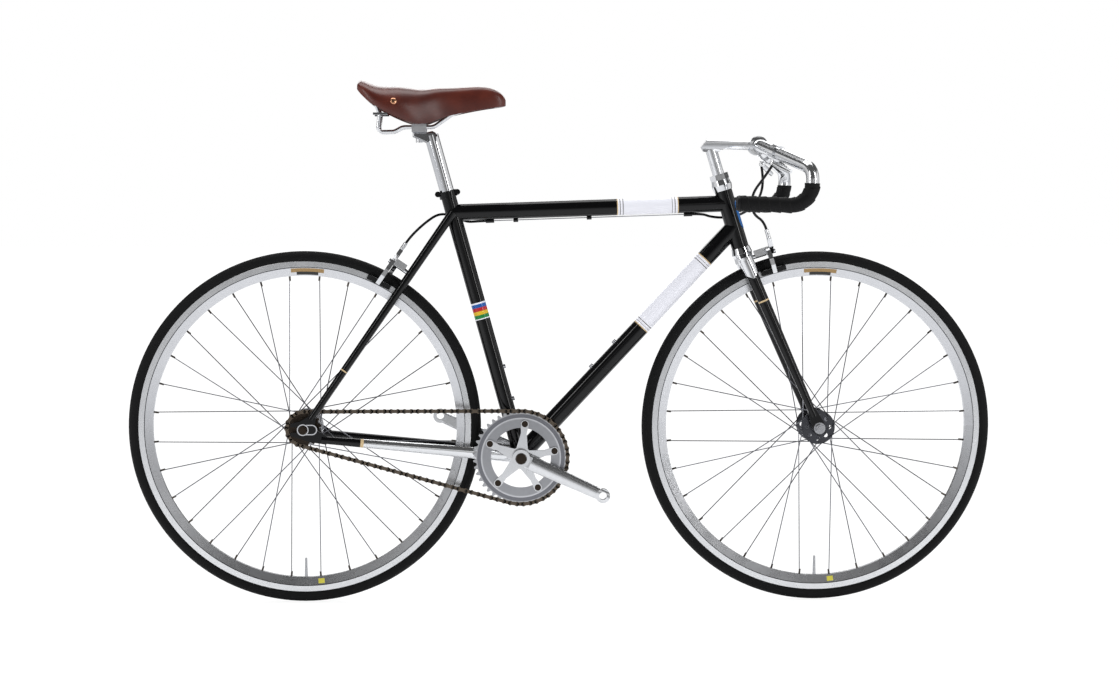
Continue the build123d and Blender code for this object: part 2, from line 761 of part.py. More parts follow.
def spoke(centre, rim_angle, hub_angle, flange_y, lace):
    rim_r = RIM_R - RIM_DEPTH
    hub_r = FLANGE_R - SPOKE_HOLE_INSET
    side = math.copysign(1, flange_y)
    a = centre + Vector(hub_r * math.cos(hub_angle), flange_y + lace, hub_r * math.sin(hub_angle))
    b = centre + Vector(rim_r * math.cos(rim_angle), side * SPOKE_RIM_Y, rim_r * math.sin(rim_angle))
    run = (b - a).normalized()
    plane = Plane(origin=a - run * SPOKE_D, z_dir=run)
    return plane * extrude(RegularPolygon(SPOKE_D / 2, 6), (b - a).length + SPOKE_D - RUN_GAP)


def hub_and_spokes(centre, flange_y, hub_half, axle_d):
    bore = axle_d / 2 + RUN_GAP
    f0 = flange_y - FLANGE_T / 2
    f1 = flange_y + FLANGE_T / 2
    half = [(HUB_END_R, hub_half), (HUB_END_R, f1), (FLANGE_R, f1), (FLANGE_R, f0)]
    half += [(HUB_SHELL_R, f0 - FLANGE_WAIST)]
    other = [(r, -y) for r, y in half[::-1]]
    profile = [(bore, hub_half)] + half + other + [(bore, -hub_half)]
    hub = turned(profile, centre)
    step = 2 * math.pi / FLANGE_HOLES
    hole_r = (HUB_END_R + FLANGE_R - SPOKE_HOLE_INSET) / 2
    for k in range(FLANGE_HOLES):
        p = centre + Vector(hole_r * math.cos(k * step), 0, hole_r * math.sin(k * step))
        hub = hub - rod(p - left * (2 * f1), p + left * (2 * f1), FLANGE_HOLE_D)
    spokes = []
    rim_step = 2 * math.pi / SPOKES
    wind = 2 * math.pi * SPOKE_CROSSES / (SPOKES / 2)
    first = math.pi / 2 + rim_step / 2
    for k in range(SPOKES):
        side = -1 if k % 2 == 0 else 1
        leading = 1 if (k // 2) % 2 == 0 else -1
        angle = first + k * rim_step
        spokes.append(spoke(centre, angle, angle + leading * wind, side * flange_y, leading * SPOKE_LACE))
    return hub.fuse(*spokes)


def valve(centre):
    top = centre - Vector(0, 0, RIM_R - RIM_DEPTH - RUN_GAP)
    return rod(top, top + Vector(0, 0, VALVE_LEN), 2 * VALVE_R, VALVE_TIP_D)


def axle_set(centre, old, hub_ends):
    """Fixed axle with its cones, locknuts and track nuts."""
    reach = old / 2 + DROPOUT_T + AXLE_PROUD
    axle = rod(centre - left * reach, centre + left * reach, AXLE_D)
    for name, side in SIDES.items():
        inner = centre + left * (side * (hub_ends[name] + RUN_GAP))
        face = centre + left * (side * old / 2)
        outer = centre + left * (side * (old / 2 + DROPOUT_T))
        washer = outer + left * (side * WASHER_T)
        axle = axle + rod(inner, face, CONE_D, WASHER_D)
        axle = axle + rod(outer, washer, WASHER_D)
        nut_plane = Plane(origin=washer, z_dir=left * side)
        axle = axle + nut_plane * extrude(RegularPolygon(TRACK_NUT_R, 6), TRACK_NUT_H)
    return axle


# Drive
def toothed(teeth, pitch_r):
    """Outline of a chain wheel, four corners to each tooth."""
    tip = pitch_r + TOOTH_TIP
    root = pitch_r - TOOTH_ROOT
    step = 2 * math.pi / teeth
    corners = []
    for k in range(teeth):
        middle = (k + 0.5) * step
        for share, r in ((-TOOTH_ROOT_SHARE, root), (-TOOTH_TIP_SHARE, tip)):
            corners.append((r * math.cos(middle + share * step), r * math.sin(middle + share * step)))
        for share, r in ((TOOTH_TIP_SHARE, tip), (TOOTH_ROOT_SHARE, root)):
            corners.append((r * math.cos(middle + share * step), r * math.sin(middle + share * step)))
    return make_face(Polyline(*corners, close=True))


def facing_right(centre, y):
    """Plane in the X-Z directions whose normal points to the rider's right."""
    return Plane(origin=Vector(centre.X, y, centre.Z), x_dir=(1, 0, 0), z_dir=(0, -1, 0))


def polar(r, degrees):
    return (r * math.cos(math.radians(degrees)), r * math.sin(math.radians(degrees)))


def bolt_angles():
    spacing = 360 / BOLT_COUNT
    return [CRANK_ANGLE + spacing * (k + 0.5) for k in range(BOLT_COUNT)]


def chainring():
    face = toothed(RING_TEETH, ring_r) - Circle(RING_INNER_R)
    for a in bolt_angles():
        face = face - Pos(*polar(BOLT_CIRCLE_R, a)) * Circle(BOLT_D / 2)
    return facing_right(bb, -CHAINLINE + TOOTH_T / 2) * extrude(face, TOOTH_T)


def chainring_bolts():
    inner = -CHAINLINE + TOOTH_T / 2
    outer = inner - TOOTH_T - SPIDER_T
    solids = []
    for a in bolt_angles():
        x, z = polar(BOLT_CIRCLE_R, a)
        p = Vector(bb.X + x, 0, bb.Z + z)
        shank = rod(p + left * inner, p + left * outer, BOLT_D)
        head = rod(p + left * outer, p + left * (outer - BOLT_HEAD_H), BOLT_HEAD_D)
        nut = rod(p + left * (inner + BOLT_HEAD_H), p + left * inner, BOLT_HEAD_D)
        solids.append(shank + head + nut)
    return Compound(children=solids)


def crank_arm(side, angle):
    """Tapered arm from the spindle boss to the pedal eye."""
    root = bb + left * (side * (CRANK_Q_INNER + CRANK_BOSS_T / 2))
    dx, dz = polar(1, angle)
    reach = Vector(dx, 0, dz)
    eye = bb + reach * CRANK_LEN + left * (side * (CRANK_Q_INNER + CRANK_BOSS_T / 2 + CRANK_EYE_OUT))
    run = eye - root
    across = run.cross(left).normalized()
    faces = []
    for p, w, t in ((root, CRANK_ROOT_W, CRANK_ROOT_T), (eye, CRANK_TIP_W, CRANK_TIP_T)):
        faces.append(Plane(origin=p, x_dir=across, z_dir=run) * RectangleRounded(w, t, CRANK_EDGE))
    arm = loft(faces, ruled=True)
    boss = rod(root - left * (CRANK_BOSS_T / 2), root + left * (CRANK_BOSS_T / 2), 2 * CRANK_BOSS_R)
    ear = rod(eye - left * (CRANK_EYE_T / 2), eye + left * (CRANK_EYE_T / 2), 2 * CRANK_EYE_R)
    arm = arm + boss + ear
    arm = arm - rod(eye - left * CRANK_EYE_T, eye + left * CRANK_EYE_T, 2 * PEDAL_THREAD_R)
    arm = arm - rod(root - left * CRANK_BOSS_T, root + left * CRANK_BOSS_T, 2 * SPINDLE_R)
    return arm


def right_crank():
    ring_face = -CHAINLINE - TOOTH_T / 2
    arms = Circle(SPIDER_HUB_R)
    flank = [(0, SPIDER_ROOT[1]), SPIDER_ROOT, SPIDER_WAIST, (BOLT_CIRCLE_R, SPIDER_ARM_W / 2)]
    other = [(x, -y) for x, y in flank[::-1]]
    spoke_face = make_face(Polyline(*flank, *other, close=True))
    for a in bolt_angles():
        tip = polar(BOLT_CIRCLE_R, a)
        arms = arms + Rot(0, 0, a) * spoke_face + Pos(*tip) * Circle(SPIDER_ARM_W / 2)
    for a in bolt_angles():
        arms = arms - Pos(*polar(BOLT_CIRCLE_R, a)) * Circle(BOLT_D / 2)
    arms = arms - Circle(SPINDLE_R)
    spider = facing_right(bb, ring_face) * extrude(arms, SPIDER_T)
    return crank_arm(-1, CRANK_ANGLE) + spider


def crank_spindle():
    half = CRANK_Q_INNER + CRANK_BOSS_T
    return rod(bb - left * half, bb + left * half, 2 * SPINDLE_R)


def crank_caps():
    face = CRANK_Q_INNER + CRANK_BOSS_T
    solids = []
    for side in SIDES.values():
        seat = bb + left * (side * face)
        solids.append(rod(seat, seat + left * (side * CAP_T), 2 * CAP_R, 2 * CAP_R - CAP_TAPER))
    return Compound(children=solids)


def bottom_bracket_cups():
    solids = []
    for side in SIDES.values():
        a = bb + left * (side * BB_SHELL_W / 2)
        cup = rod(a, a + left * (side * CUP_OUT), CUP_D)
        sleeve = rod(a - left * (side * CUP_IN), a, BB_SHELL_BORE)
        bore = rod(bb - left * BB_SHELL_W, bb + left * BB_SHELL_W, 2 * SPINDLE_R + 2 * RUN_GAP)
        solids.append(cup + sleeve - bore)
    return Compound(children=solids)


def chain_outline(offset_pin, offset_waist):
    """Scalloped outline of the loop, high at each pin and low between pins."""
    gap = bb - rear_axle
    base = math.atan2(gap.Z, gap.X)
    lean = math.asin((ring_r - cog_r) / gap.length)
    run = gap.length * math.cos(lean)
    arcs = (ring_r * (math.pi + 2 * lean), cog_r * (math.pi - 2 * lean))
    total = 2 * run + sum(arcs)

    def place(s, h):
        s = s % total
        if s < run:
            a = base + lean + math.pi / 2
            p = rear_axle + polar_xz(cog_r + h, a) + polar_xz(s, a - math.pi / 2)
        elif s < run + arcs[0]:
            a = base + lean + math.pi / 2 - (s - run) / ring_r
            p = bb + polar_xz(ring_r + h, a)
        elif s < 2 * run + arcs[0]:
            a = base - lean - math.pi / 2
            p = bb + polar_xz(ring_r + h, a) + polar_xz(s - run - arcs[0], a - math.pi / 2)
        else:
            a = base - lean - math.pi / 2 - (s - 2 * run - arcs[0]) / cog_r
            p = rear_axle + polar_xz(cog_r + h, a)
        return p

    corners = []
    link = total / LINKS
    for k in range(LINKS):
        for shift, h in ((0, offset_pin), (link / 2, offset_waist)):
            p = place(k * link + shift, h)
            corners.append((p.X, p.Z))
    return corners


def polar_xz(r, a):
    return Vector(r * math.cos(a), 0, r * math.sin(a))


def chain():
    """One loop with its links in its outline, grooved where the teeth pass."""
    y0 = -CHAINLINE - CHAIN_W / 2
    y1 = -CHAINLINE + CHAIN_W / 2
    outer = plate(chain_outline(CHAIN_PIN_HALF_H, CHAIN_WAIST_HALF_H), y0, y1)
    inner = plate(chain_outline(-CHAIN_PIN_HALF_H, -CHAIN_WAIST_HALF_H), y0 - 1, y1 + 1)
    loop = outer - inner
    half = TOOTH_T / 2 + TOOTH_GAP
    for centre, r in ((bb, ring_r), (rear_axle, cog_r)):
        tip = r + TOOTH_TIP + TOOTH_GAP
        near = -CHAINLINE - half
        far = -CHAINLINE + half
        groove = [(r / 2, near), (tip, near), (tip, far), (r / 2, far)]
        loop = loop - turned(groove, centre)
    return loop


def cog(hub_half):
    """Sprocket on its freewheel body, seated on the hub's end."""
    teeth = toothed(COG_TEETH, cog_r) - Circle(BODY_R)
    wheel = facing_right(rear_axle, -CHAINLINE + TOOTH_T / 2) * extrude(teeth, TOOTH_T)
    bore = BODY_BORE_R
    end = -CHAINLINE - BODY_OUT
    body = [(bore, -hub_half), (BODY_R, -hub_half), (BODY_R, end), (bore, end)]
    return wheel + turned(body, rear_axle)


# Seat
def seat_post():
    post = rod(on_seat(SEAT_TUBE_LEN - POST_INSERT + 1), post_head, POST_D)
    corners = [(post_head.X + x, post_head.Z + z) for x, z in POST_HEAD_FRONT + POST_HEAD_BACK]
    head = plate(corners, -POST_HEAD_HALF_W, POST_HEAD_HALF_W)
    flanks = head.edges().filter_by(lambda e: abs((e % 0.5).Y) < 0.01)
    return post + chamfer(flanks, POST_HEAD_EDGE)


def saddle_clamp(rails, post):
    middle = rail_clamp + Vector(0, 0, CLAMP_TALL / 2 - CLAMP_FLOOR)
    block = Pos(middle) * Box(CLAMP_LONG, 2 * (RAIL_Y + CLAMP_SIDE), CLAMP_TALL)
    bolt_top = rail_clamp - Vector(0, 0, CLAMP_BOLT_TOP)
    stud = rod(bolt_top, bolt_top - Vector(0, 0, CLAMP_BOLT_LEN), CLAMP_BOLT_D)
    return Compound(children=[keep_largest(block - rails - post), keep_largest(stud - post)])


def saddle_section(x, half_w, top, skirt, inset):
    """Inverted-U section of the leather top at one station along its length."""
    w = half_w - inset
    z = top - inset
    tall = z - skirt
    flank = (-SADDLE_FLANK[0] * w, skirt + SADDLE_FLANK[1] * tall)
    shoulder = (-SADDLE_SHOULDER[0] * w, z - SADDLE_SHOULDER[1] * tall)
    right_side = [(-w, skirt), flank, shoulder, (0, z)]
    left_side = [(-y, h) for y, h in right_side[-2::-1]]
    points = [seat_point + Vector(x, y, h) for y, h in right_side + left_side]
    return make_face([Spline(*points), Line(points[-1], points[0])])


def saddle_top():
    outer = loft([saddle_section(x, w, t, s, 0) for x, w, t, s in SADDLE_STATIONS])
    inside = SADDLE_STATIONS[SADDLE_SOLID_ENDS:-SADDLE_SOLID_ENDS]
    inner = loft([saddle_section(x, w, t, s - SADDLE_OPEN, SADDLE_WALL) for x, w, t, s in inside])
    return keep_largest(outer - inner)


def saddle_rails():
    shapes = []
    for side in SIDES.values():
        points = [from_point(seat_point, offset, side) for offset in RAIL_POINTS]
        shackle = Pos(from_point(seat_point, SHACKLE_AT, side)) * Box(*SHACKLE)
        shapes.append(bent(points, RAIL_RADII, RAIL_D) + shackle)
    ends = [from_point(seat_point, CANTLE_END, side) for side in SIDES.values()]
    cantle = ThreePointArc(ends[0], from_point(seat_point, CANTLE_TOP), ends[1])
    section = Plane(origin=cantle @ 0, z_dir=cantle % 0) * Circle(CANTLE_D / 2)
    bar = sweep(section, path=cantle)
    tips = [from_point(seat_point, RAIL_POINTS[-1], side) for side in SIDES.values()]
    nose = rod(tips[0] - left * NOSE_PIN_PROUD, tips[1] + left * NOSE_PIN_PROUD, NOSE_PIN_D)
    return shapes[0] + shapes[1] + bar + nose


def seat_collar():
    a = on_seat(SEAT_TUBE_LEN - COLLAR_H)
    b = on_seat(SEAT_TUBE_LEN)
    body = rod(a, b, COLLAR_D)
    for x, z in COLLAR_EARS:
        ear = (a + b) * 0.5 + Vector(x, 0, z)
        body = body + rod(ear - left * COLLAR_EAR_HALF, ear + left * COLLAR_EAR_HALF, COLLAR_EAR_D)
    return body - rod(a - seat_dir * COLLAR_D, b + seat_dir * COLLAR_D, SEAT_TUBE_D)


# Brakes
class Caliper:
    """Side-pull caliper on one bolt, drawn in the plane across that bolt."""

    def __init__(self, axle, seat, out, stand_off, cable_side):
        self.axle = axle
        self.out = out
        self.stand_off = stand_off
        self.pivot = seat + out * stand_off
        self.x_dir = left * -cable_side
        self.up = out.cross(self.x_dir).normalized()
        self.reach = self.drop_to_rim(self.pivot)

    def drop_to_rim(self, start):
        """Distance from a point down the caliper's plane to the middle of the brake track."""
        spoke = start - self.axle
        along = spoke.dot(self.up)
        return along - math.sqrt(along**2 - spoke.length**2 + (RIM_R - RIM_TRACK / 2) ** 2)

    def place(self, x, y, z=0.0):
        return self.pivot + self.x_dir * x + self.up * y + self.out * z

    def adjuster_top(self):
        return self.place(-CABLE_ARM_Y, CABLE_ARM_UP + ADJUSTER_LEN, BRAKE_ARM_T / 2)

    def body(self):
        plane = Plane(origin=self.pivot, x_dir=self.x_dir, z_dir=self.out)
        y = BRAKE_ARM_Y
        knee = self.reach / 2
        shape = [(0, 0), (BRAKE_SHOULDER[0] * y, BRAKE_SHOULDER[1])]
        shape += [(y, -share * knee) for share in BRAKE_KNEES]
        shape += [(BRAKE_TIP[0] * y, -self.reach - BRAKE_TIP[1])]
        arm = FilletPolyline(*shape, radius=BRAKE_BEND)
        other = mirror(arm, about=Plane.YZ)
        elbow = (-CABLE_ARM_ELBOW * CABLE_ARM_Y, CABLE_ARM_UP / 2)
        cable_arm = FilletPolyline((0, 0), elbow, (-CABLE_ARM_Y, CABLE_ARM_UP), radius=BRAKE_BEND)
        front = extrude(trace(arm, BRAKE_ARM_W), BRAKE_ARM_T)
        back = Pos(0, 0, -BRAKE_ARM_T) * extrude(trace(other, BRAKE_ARM_W), BRAKE_ARM_T)
        lift = extrude(trace(cable_arm, BRAKE_ARM_W), BRAKE_ARM_T)
        base = (Align.CENTER, Align.CENTER, Align.MIN)
        bolt_len = self.stand_off + BRAKE_ARM_T + BRAKE_BOLT_PROUD
        bolt = Pos(0, 0, -self.stand_off) * Cylinder(BRAKE_ARM_W / 2, bolt_len, align=base)
        yoke_len = self.stand_off - YOKE_SHORT
        yoke = Pos(0, YOKE_TALL / 2 - YOKE_LOW, -yoke_len / 2) * Box(YOKE_W, YOKE_TALL, yoke_len)
        top = self.adjuster_top()
        adjuster = rod(top - self.up * (ADJUSTER_LEN + BRAKE_ARM_W / 2), top, ADJUSTER_D)
        return plane * (front + back + lift + bolt + yoke) + adjuster

    def pads(self, arms):
        solids = []
        for side in SIDES.values():
            layer = self.out * (BRAKE_ARM_T / 2 * -side * (1 if self.x_dir.Y < 0 else -1))
            start = self.pivot + layer
            touch = start - self.up * self.drop_to_rim(start)
            aim = (touch - self.axle).normalized()
            mid = touch + left * (side * (RIM_HALF_W + PAD_GAP + PAD_T / 2))
            block = Plane(origin=mid, x_dir=left.cross(aim), z_dir=aim) * Box(PAD_LEN, PAD_T, PAD_H)
            stud = rod(mid, mid + left * (side * BRAKE_ARM_Y), PAD_STUD_D)
            solids.append(keep_largest(block + stud - arms))
        return Compound(children=solids)


def front_caliper():
    seat = on_steer(CROWN_RACE_H - CROWN_DEPTH / 2) + steer_out * (CROWN_LENGTH / 2)
    return Caliper(front_axle, seat, steer_out, FRONT_BRAKE_OUT, -1)


def rear_caliper():
    foot, top = seat_stay_axis(1)
    rise = Vector(top.X - foot.X, 0, top.Z - foot.Z).normalized()
    p = bridge_point((foot, top), BRAKE_BRIDGE_R)
    back = rise.cross(left)
    seat = Vector(p.X, 0, p.Z) + back * (BRIDGE_D / 2)
    return Caliper(rear_axle, seat, back, REAR_BRAKE_OUT, 1)


# Cables
def cord(points, d):
    """Cable housing: straight runs joined by arcs as large as the runs allow."""
    radii = []
    for a, b, c in zip(points, points[1:], points[2:]):
        turn = math.radians((b - a).get_angle(c - b))
        shorter = min((b - a).length, (c - b).length)
        radii.append(HOUSING_BEND * shorter / math.tan(turn / 2))
    return bent(points, radii, d)


def under_top_tube(x, below):
    """Point below the top tube's underside at a given place along the bicycle."""
    p = top_a + (top_b - top_a) * ((x - top_a.X) / (top_b.X - top_a.X))
    return p - Vector(0, 0, TOP_TUBE_D / 2 + below)


def cable_stops(top_tube):
    run = (top_b - top_a).normalized()
    solids = []
    sizes = [(front_stop_x, STOP_LEN), (rear_stop_x, STOP_LEN)]
    for share in GUIDE_SHARES:
        sizes.append((rear_stop_x + share * (front_stop_x - rear_stop_x), GUIDE_LEN))
    for x, length in sizes:
        mid = under_top_tube(x, CABLE_D / 2)
        sleeve = ring(mid - run * (length / 2), mid + run * (length / 2), STOP_D, WIRE_D + 2 * RUN_GAP)
        solids.append(keep_largest(sleeve - top_tube))
    return Compound(children=solids)


def lever_outlet(side):
    """Where the housing leaves a lever's body."""
    a, b = bar_half(side)[:2]
    mid = a + (b - a).normalized() * LEVER_S
    return mid + lever_back * LEVER_LEN


def cables(front, rear):
    half = STOP_LEN / 2
    run = (top_b - top_a).normalized()
    stop_front = under_top_tube(front_stop_x, CABLE_D / 2) + run * half
    stop_rear = under_top_tube(rear_stop_x, CABLE_D / 2) - run * half
    loop = [lever_outlet(1)]
    loop += [from_point(bar_clamp, offset) for offset in LOOP_FROM_CLAMP]
    loop += [from_point(stop_front, offset) for offset in LOOP_FROM_STOP]
    loop += [stop_front + run * LOOP_LEAD, stop_front]
    tail = [stop_rear, stop_rear - run * TAIL_LEAD]
    tail += [from_point(top_a, offset) for offset in TAIL_FROM_SEAT]
    tail += [rear.adjuster_top() + rear.up * HOUSING_LEAD, rear.adjuster_top()]
    lead = [lever_outlet(-1)]
    lead += [from_point(bar_clamp, offset) for offset in LEAD_FROM_CLAMP]
    lead += [front.adjuster_top() + front.up * HOUSING_LEAD, front.adjuster_top()]
    wire = rod(stop_rear, stop_front, WIRE_D)
    return cord(loop, CABLE_D), wire, cord(tail, CABLE_D), cord(lead, CABLE_D)


# Bottle bosses
def boss_places():
    """Outer ends and directions of the four threaded bosses."""
    down_dir = (down_b - bb).normalized()
    seat_out = left.cross(seat_dir)
    down_out = down_dir.cross(left)
    places = []
    for k in range(2):
        skin = on_seat(SEAT_BOSS_S + k * BOSS_PITCH) + seat_out * (SEAT_TUBE_D / 2)
        places.append(("seat_tube", skin, seat_out))
    for k in range(2):
        skin = bb + down_dir * (DOWN_BOSS_S + k * BOSS_PITCH) + down_out * (DOWN_TUBE_D / 2)
        places.append(("down_tube", skin, down_out))
    return places


def add_bosses(tubes):
    """Bore the tubes for the bosses and return the bosses."""
    solids = []
    for tube, skin, out in boss_places():
        a = skin - out * BOSS_DEPTH
        b = skin + out * BOSS_OUT
        tubes[tube] = tubes[tube] - rod(a, b, BOSS_D)
        solids.append(ring(a, b, BOSS_D, BOSS_BORE))
    return Compound(children=solids)


def main():
    os.makedirs("parts", exist_ok=True)
    tubes = frame_tubes()
    stays = rear_stays(tubes)
    bosses = add_bosses(tubes)
    cups, races = headset()
    bar, tape, plugs = handlebar()
    rails = saddle_rails()
    leather = saddle_top()
    front_hub_half = FRONT_OLD / 2 - FRONT_HUB_SHORT
    rear_hub_half = CHAINLINE - REAR_HUB_SHORT
    pieces = {**tubes, **stays, **fork()}
    pieces["stay_bridges"] = bridges(stays)
    pieces["headset_cups"] = cups
    pieces["headset_races"] = races
    pieces["stem"] = stem()
    pieces["handlebar"] = bar
    pieces["bar_tape"] = tape
    pieces["bar_plugs"] = plugs
    levers = brake_levers(bar)
    pieces["brake_levers"] = levers
    front_wheel = ("front", front_axle, FRONT_FLANGE_Y, front_hub_half)
    rear_wheel = ("rear", rear_axle, REAR_FLANGE_Y, rear_hub_half)
    for name, axle, flange_y, hub_half in (front_wheel, rear_wheel):
        pieces[name + "_tyre"] = tyre(axle)
        pieces[name + "_rim"] = rim(axle)
        pieces[name + "_hub_and_spokes"] = hub_and_spokes(axle, flange_y, hub_half, AXLE_D)
        pieces[name + "_valve"] = valve(axle)
    front_ends = {"right": front_hub_half, "left": front_hub_half}
    rear_ends = {"right": CHAINLINE + BODY_OUT, "left": rear_hub_half}
    pieces["front_axle"] = axle_set(front_axle, FRONT_OLD, front_ends)
    pieces["rear_axle"] = axle_set(rear_axle, REAR_OLD, rear_ends)
    pieces["rear_cog"] = cog(rear_hub_half)
    pieces["chainring"] = chainring()
    pieces["chainring_bolts"] = chainring_bolts()
    pieces["right_crank"] = right_crank()
    pieces["left_crank"] = crank_arm(1, CRANK_ANGLE + 180)
    pieces["crank_spindle"] = crank_spindle()
    pieces["crank_caps"] = crank_caps()
    pieces["bottom_bracket_cups"] = bottom_bracket_cups()
    pieces["chain"] = chain()
    post = seat_post()
    pieces["seat_post"] = post
    pieces["seat_collar"] = seat_collar()
    pieces["saddle_clamp"] = saddle_clamp(rails, post)
    pieces["saddle_top"] = keep_largest(leather - rails)
    pieces["saddle_rails"] = rails
    front = front_caliper()
    rear = rear_caliper()
    for name, brake in (("front", front), ("rear", rear)):
        arms = brake.body()
        pieces[name + "_brake_caliper"] = arms
        pieces[name + "_brake_pads"] = brake.pads(arms)
    loop, wire, tail, lead = cables(front, rear)
    pieces["rear_cable_loop"] = keep_largest(loop - levers)
    pieces["rear_cable_wire"] = wire
    pieces["rear_cable_tail"] = tail
    pieces["front_cable"] = keep_largest(lead - levers)
    pieces["cable_stops"] = cable_stops(tubes["top_tube"])
    pieces["bottle_bosses"] = bosses
    for node, shape in pieces.items():
        save(node, shape)


main()
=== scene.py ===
import json
import math

import bmesh
import bpy
from mathutils import Matrix, Vector


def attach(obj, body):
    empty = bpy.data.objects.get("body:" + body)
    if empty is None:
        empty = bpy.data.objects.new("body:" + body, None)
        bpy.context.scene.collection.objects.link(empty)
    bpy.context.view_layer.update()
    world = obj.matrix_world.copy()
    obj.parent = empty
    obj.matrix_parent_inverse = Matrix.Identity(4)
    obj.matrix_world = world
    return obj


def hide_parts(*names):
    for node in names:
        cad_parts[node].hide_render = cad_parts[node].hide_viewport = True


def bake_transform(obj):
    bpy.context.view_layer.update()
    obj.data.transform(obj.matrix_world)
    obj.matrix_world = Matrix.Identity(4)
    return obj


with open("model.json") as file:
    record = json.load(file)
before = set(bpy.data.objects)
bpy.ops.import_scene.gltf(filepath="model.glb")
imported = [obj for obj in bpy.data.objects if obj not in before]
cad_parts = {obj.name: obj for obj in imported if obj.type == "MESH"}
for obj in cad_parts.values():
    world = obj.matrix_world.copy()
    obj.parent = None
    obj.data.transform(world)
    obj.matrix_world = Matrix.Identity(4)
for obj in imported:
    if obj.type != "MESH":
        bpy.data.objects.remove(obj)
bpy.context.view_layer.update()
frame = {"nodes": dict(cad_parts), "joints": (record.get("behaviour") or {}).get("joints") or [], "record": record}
scene = bpy.context.scene
scene.view_settings.view_transform = "Standard"

# Studio
# A pale sweep under one broad soft key overhead, and strip lights that draw the long highlights on
# the tubes. The camera stands where the photograph was taken.
MM = 0.001
joint_at = {j["name"]: Vector(j["pos_m"]) for j in frame["joints"]}
rear_axle = joint_at["rear_wheel_spin"]
front_axle = joint_at["front_wheel_spin"]
crank_axle = joint_at["crank_spin"]
WHEEL_R = 336 * MM
GROUND = rear_axle.z - WHEEL_R


def spot(x, y, z):
    """Point given in millimetres ahead of the rear axle, to the left and above the ground."""
    return Vector((rear_axle.x + x * MM, y * MM, GROUND + z * MM))


def linear(hex_colour):
    """Linear colour of an sRGB hex value."""
    channels = [int(hex_colour[i:i + 2], 16) / 255 for i in (1, 3, 5)]
    return [c / 12.92 if c <= 0.04045 else ((c + 0.055) / 1.055) ** 2.4 for c in channels] + [1.0]


def add(tree, kind, inputs=None, **settings):
    """One node with its settings, its values and the links into it."""
    node = tree.nodes.new(kind)
    for name, value in settings.items():
        setattr(node, name, value)
    for socket, value in (inputs or {}).items():
        if isinstance(value, bpy.types.NodeSocket):
            tree.links.new(value, node.inputs[socket])
        else:
            node.inputs[socket].default_value = value
    return node


CAMERA_PLACE = (327.7, -4300.0, 750.9)
CAMERA_YAW = math.radians(2.11)
CAMERA_PITCH = math.radians(3.43)
CAMERA_ROLL = math.radians(0.07)
camera = bpy.data.objects.new("camera", bpy.data.cameras.new("camera"))
camera.data.lens = 72.34
camera.data.sensor_width = 36
scene.collection.objects.link(camera)
look = Vector((
    math.sin(CAMERA_YAW) * math.cos(CAMERA_PITCH),
    math.cos(CAMERA_YAW) * math.cos(CAMERA_PITCH),
    -math.sin(CAMERA_PITCH),
))
turn = look.to_track_quat("-Z", "Y").to_matrix().to_4x4() @ Matrix.Rotation(CAMERA_ROLL, 4, "Z")
camera.matrix_world = Matrix.Translation(spot(*CAMERA_PLACE)) @ turn
scene.camera = camera

for name, place, aim, size, power in (
    ("key", (300, 700, 3600), (450, 0, 450), (3.6, 1.6), 60),
    ("front_strip", (2600, -1900, 1500), (600, 0, 450), (0.3, 2.4), 22),
    ("rear_strip", (-1700, -1900, 1500), (350, 0, 450), (0.3, 2.4), 20),
    ("back_fill", (450, 2600, 2200), (450, 0, 500), (3.0, 1.2), 30),
):
    lamp = bpy.data.objects.new(name, bpy.data.lights.new(name, "AREA"))
    lamp.data.shape = "RECTANGLE"
    lamp.data.size, lamp.data.size_y = size
    lamp.data.energy = power
    aim_line = spot(*aim) - spot(*place)
    lamp.matrix_world = Matrix.Translation(spot(*place)) @ aim_line.to_track_quat("-Z", "Y").to_matrix().to_4x4()
    scene.collection.objects.link(lamp)

world = bpy.data.worlds.new("studio_air")
world.use_nodes = True
scene.world = world
air = world.node_tree
air.nodes.clear()
ray = add(air, "ShaderNodeLightPath")
soft_light = add(air, "ShaderNodeBackground", {"Color": linear("#f4f6fa"), "Strength": 0.7})
white_air = add(air, "ShaderNodeBackground", {"Color": linear("#ffffff"), "Strength": 1.0})
dark_room = add(air, "ShaderNodeBackground", {"Color": linear("#ffffff"), "Strength": 0.1})
lit_room = add(air, "ShaderNodeMixShader", {
    0: ray.outputs["Is Glossy Ray"], 1: soft_light.outputs[0], 2: dark_room.outputs[0],
})
either = add(air, "ShaderNodeMixShader", {
    0: ray.outputs["Is Camera Ray"], 1: lit_room.outputs[0], 2: white_air.outputs[0],
})
add(air, "ShaderNodeOutputWorld", {"Surface": either.outputs[0]})


def finish(name):
    """New material with its tree and its one surface shader."""
    material = bpy.data.materials.new(name)
    material.use_nodes = True
    tree = material.node_tree
    return material, tree, tree.nodes["Principled BSDF"]


FLOOR_HALF = 40.0
sweep, tree, shader = finish("pale_paper_sweep")
shader.inputs["Base Color"].default_value = linear("#f7f7f7")
shader.inputs["Roughness"].default_value = 0.9
ray = add(tree, "ShaderNodeLightPath")
lit = add(tree, "ShaderNodeEmission", {"Color": linear("#ffffff"), "Strength": 1.1})
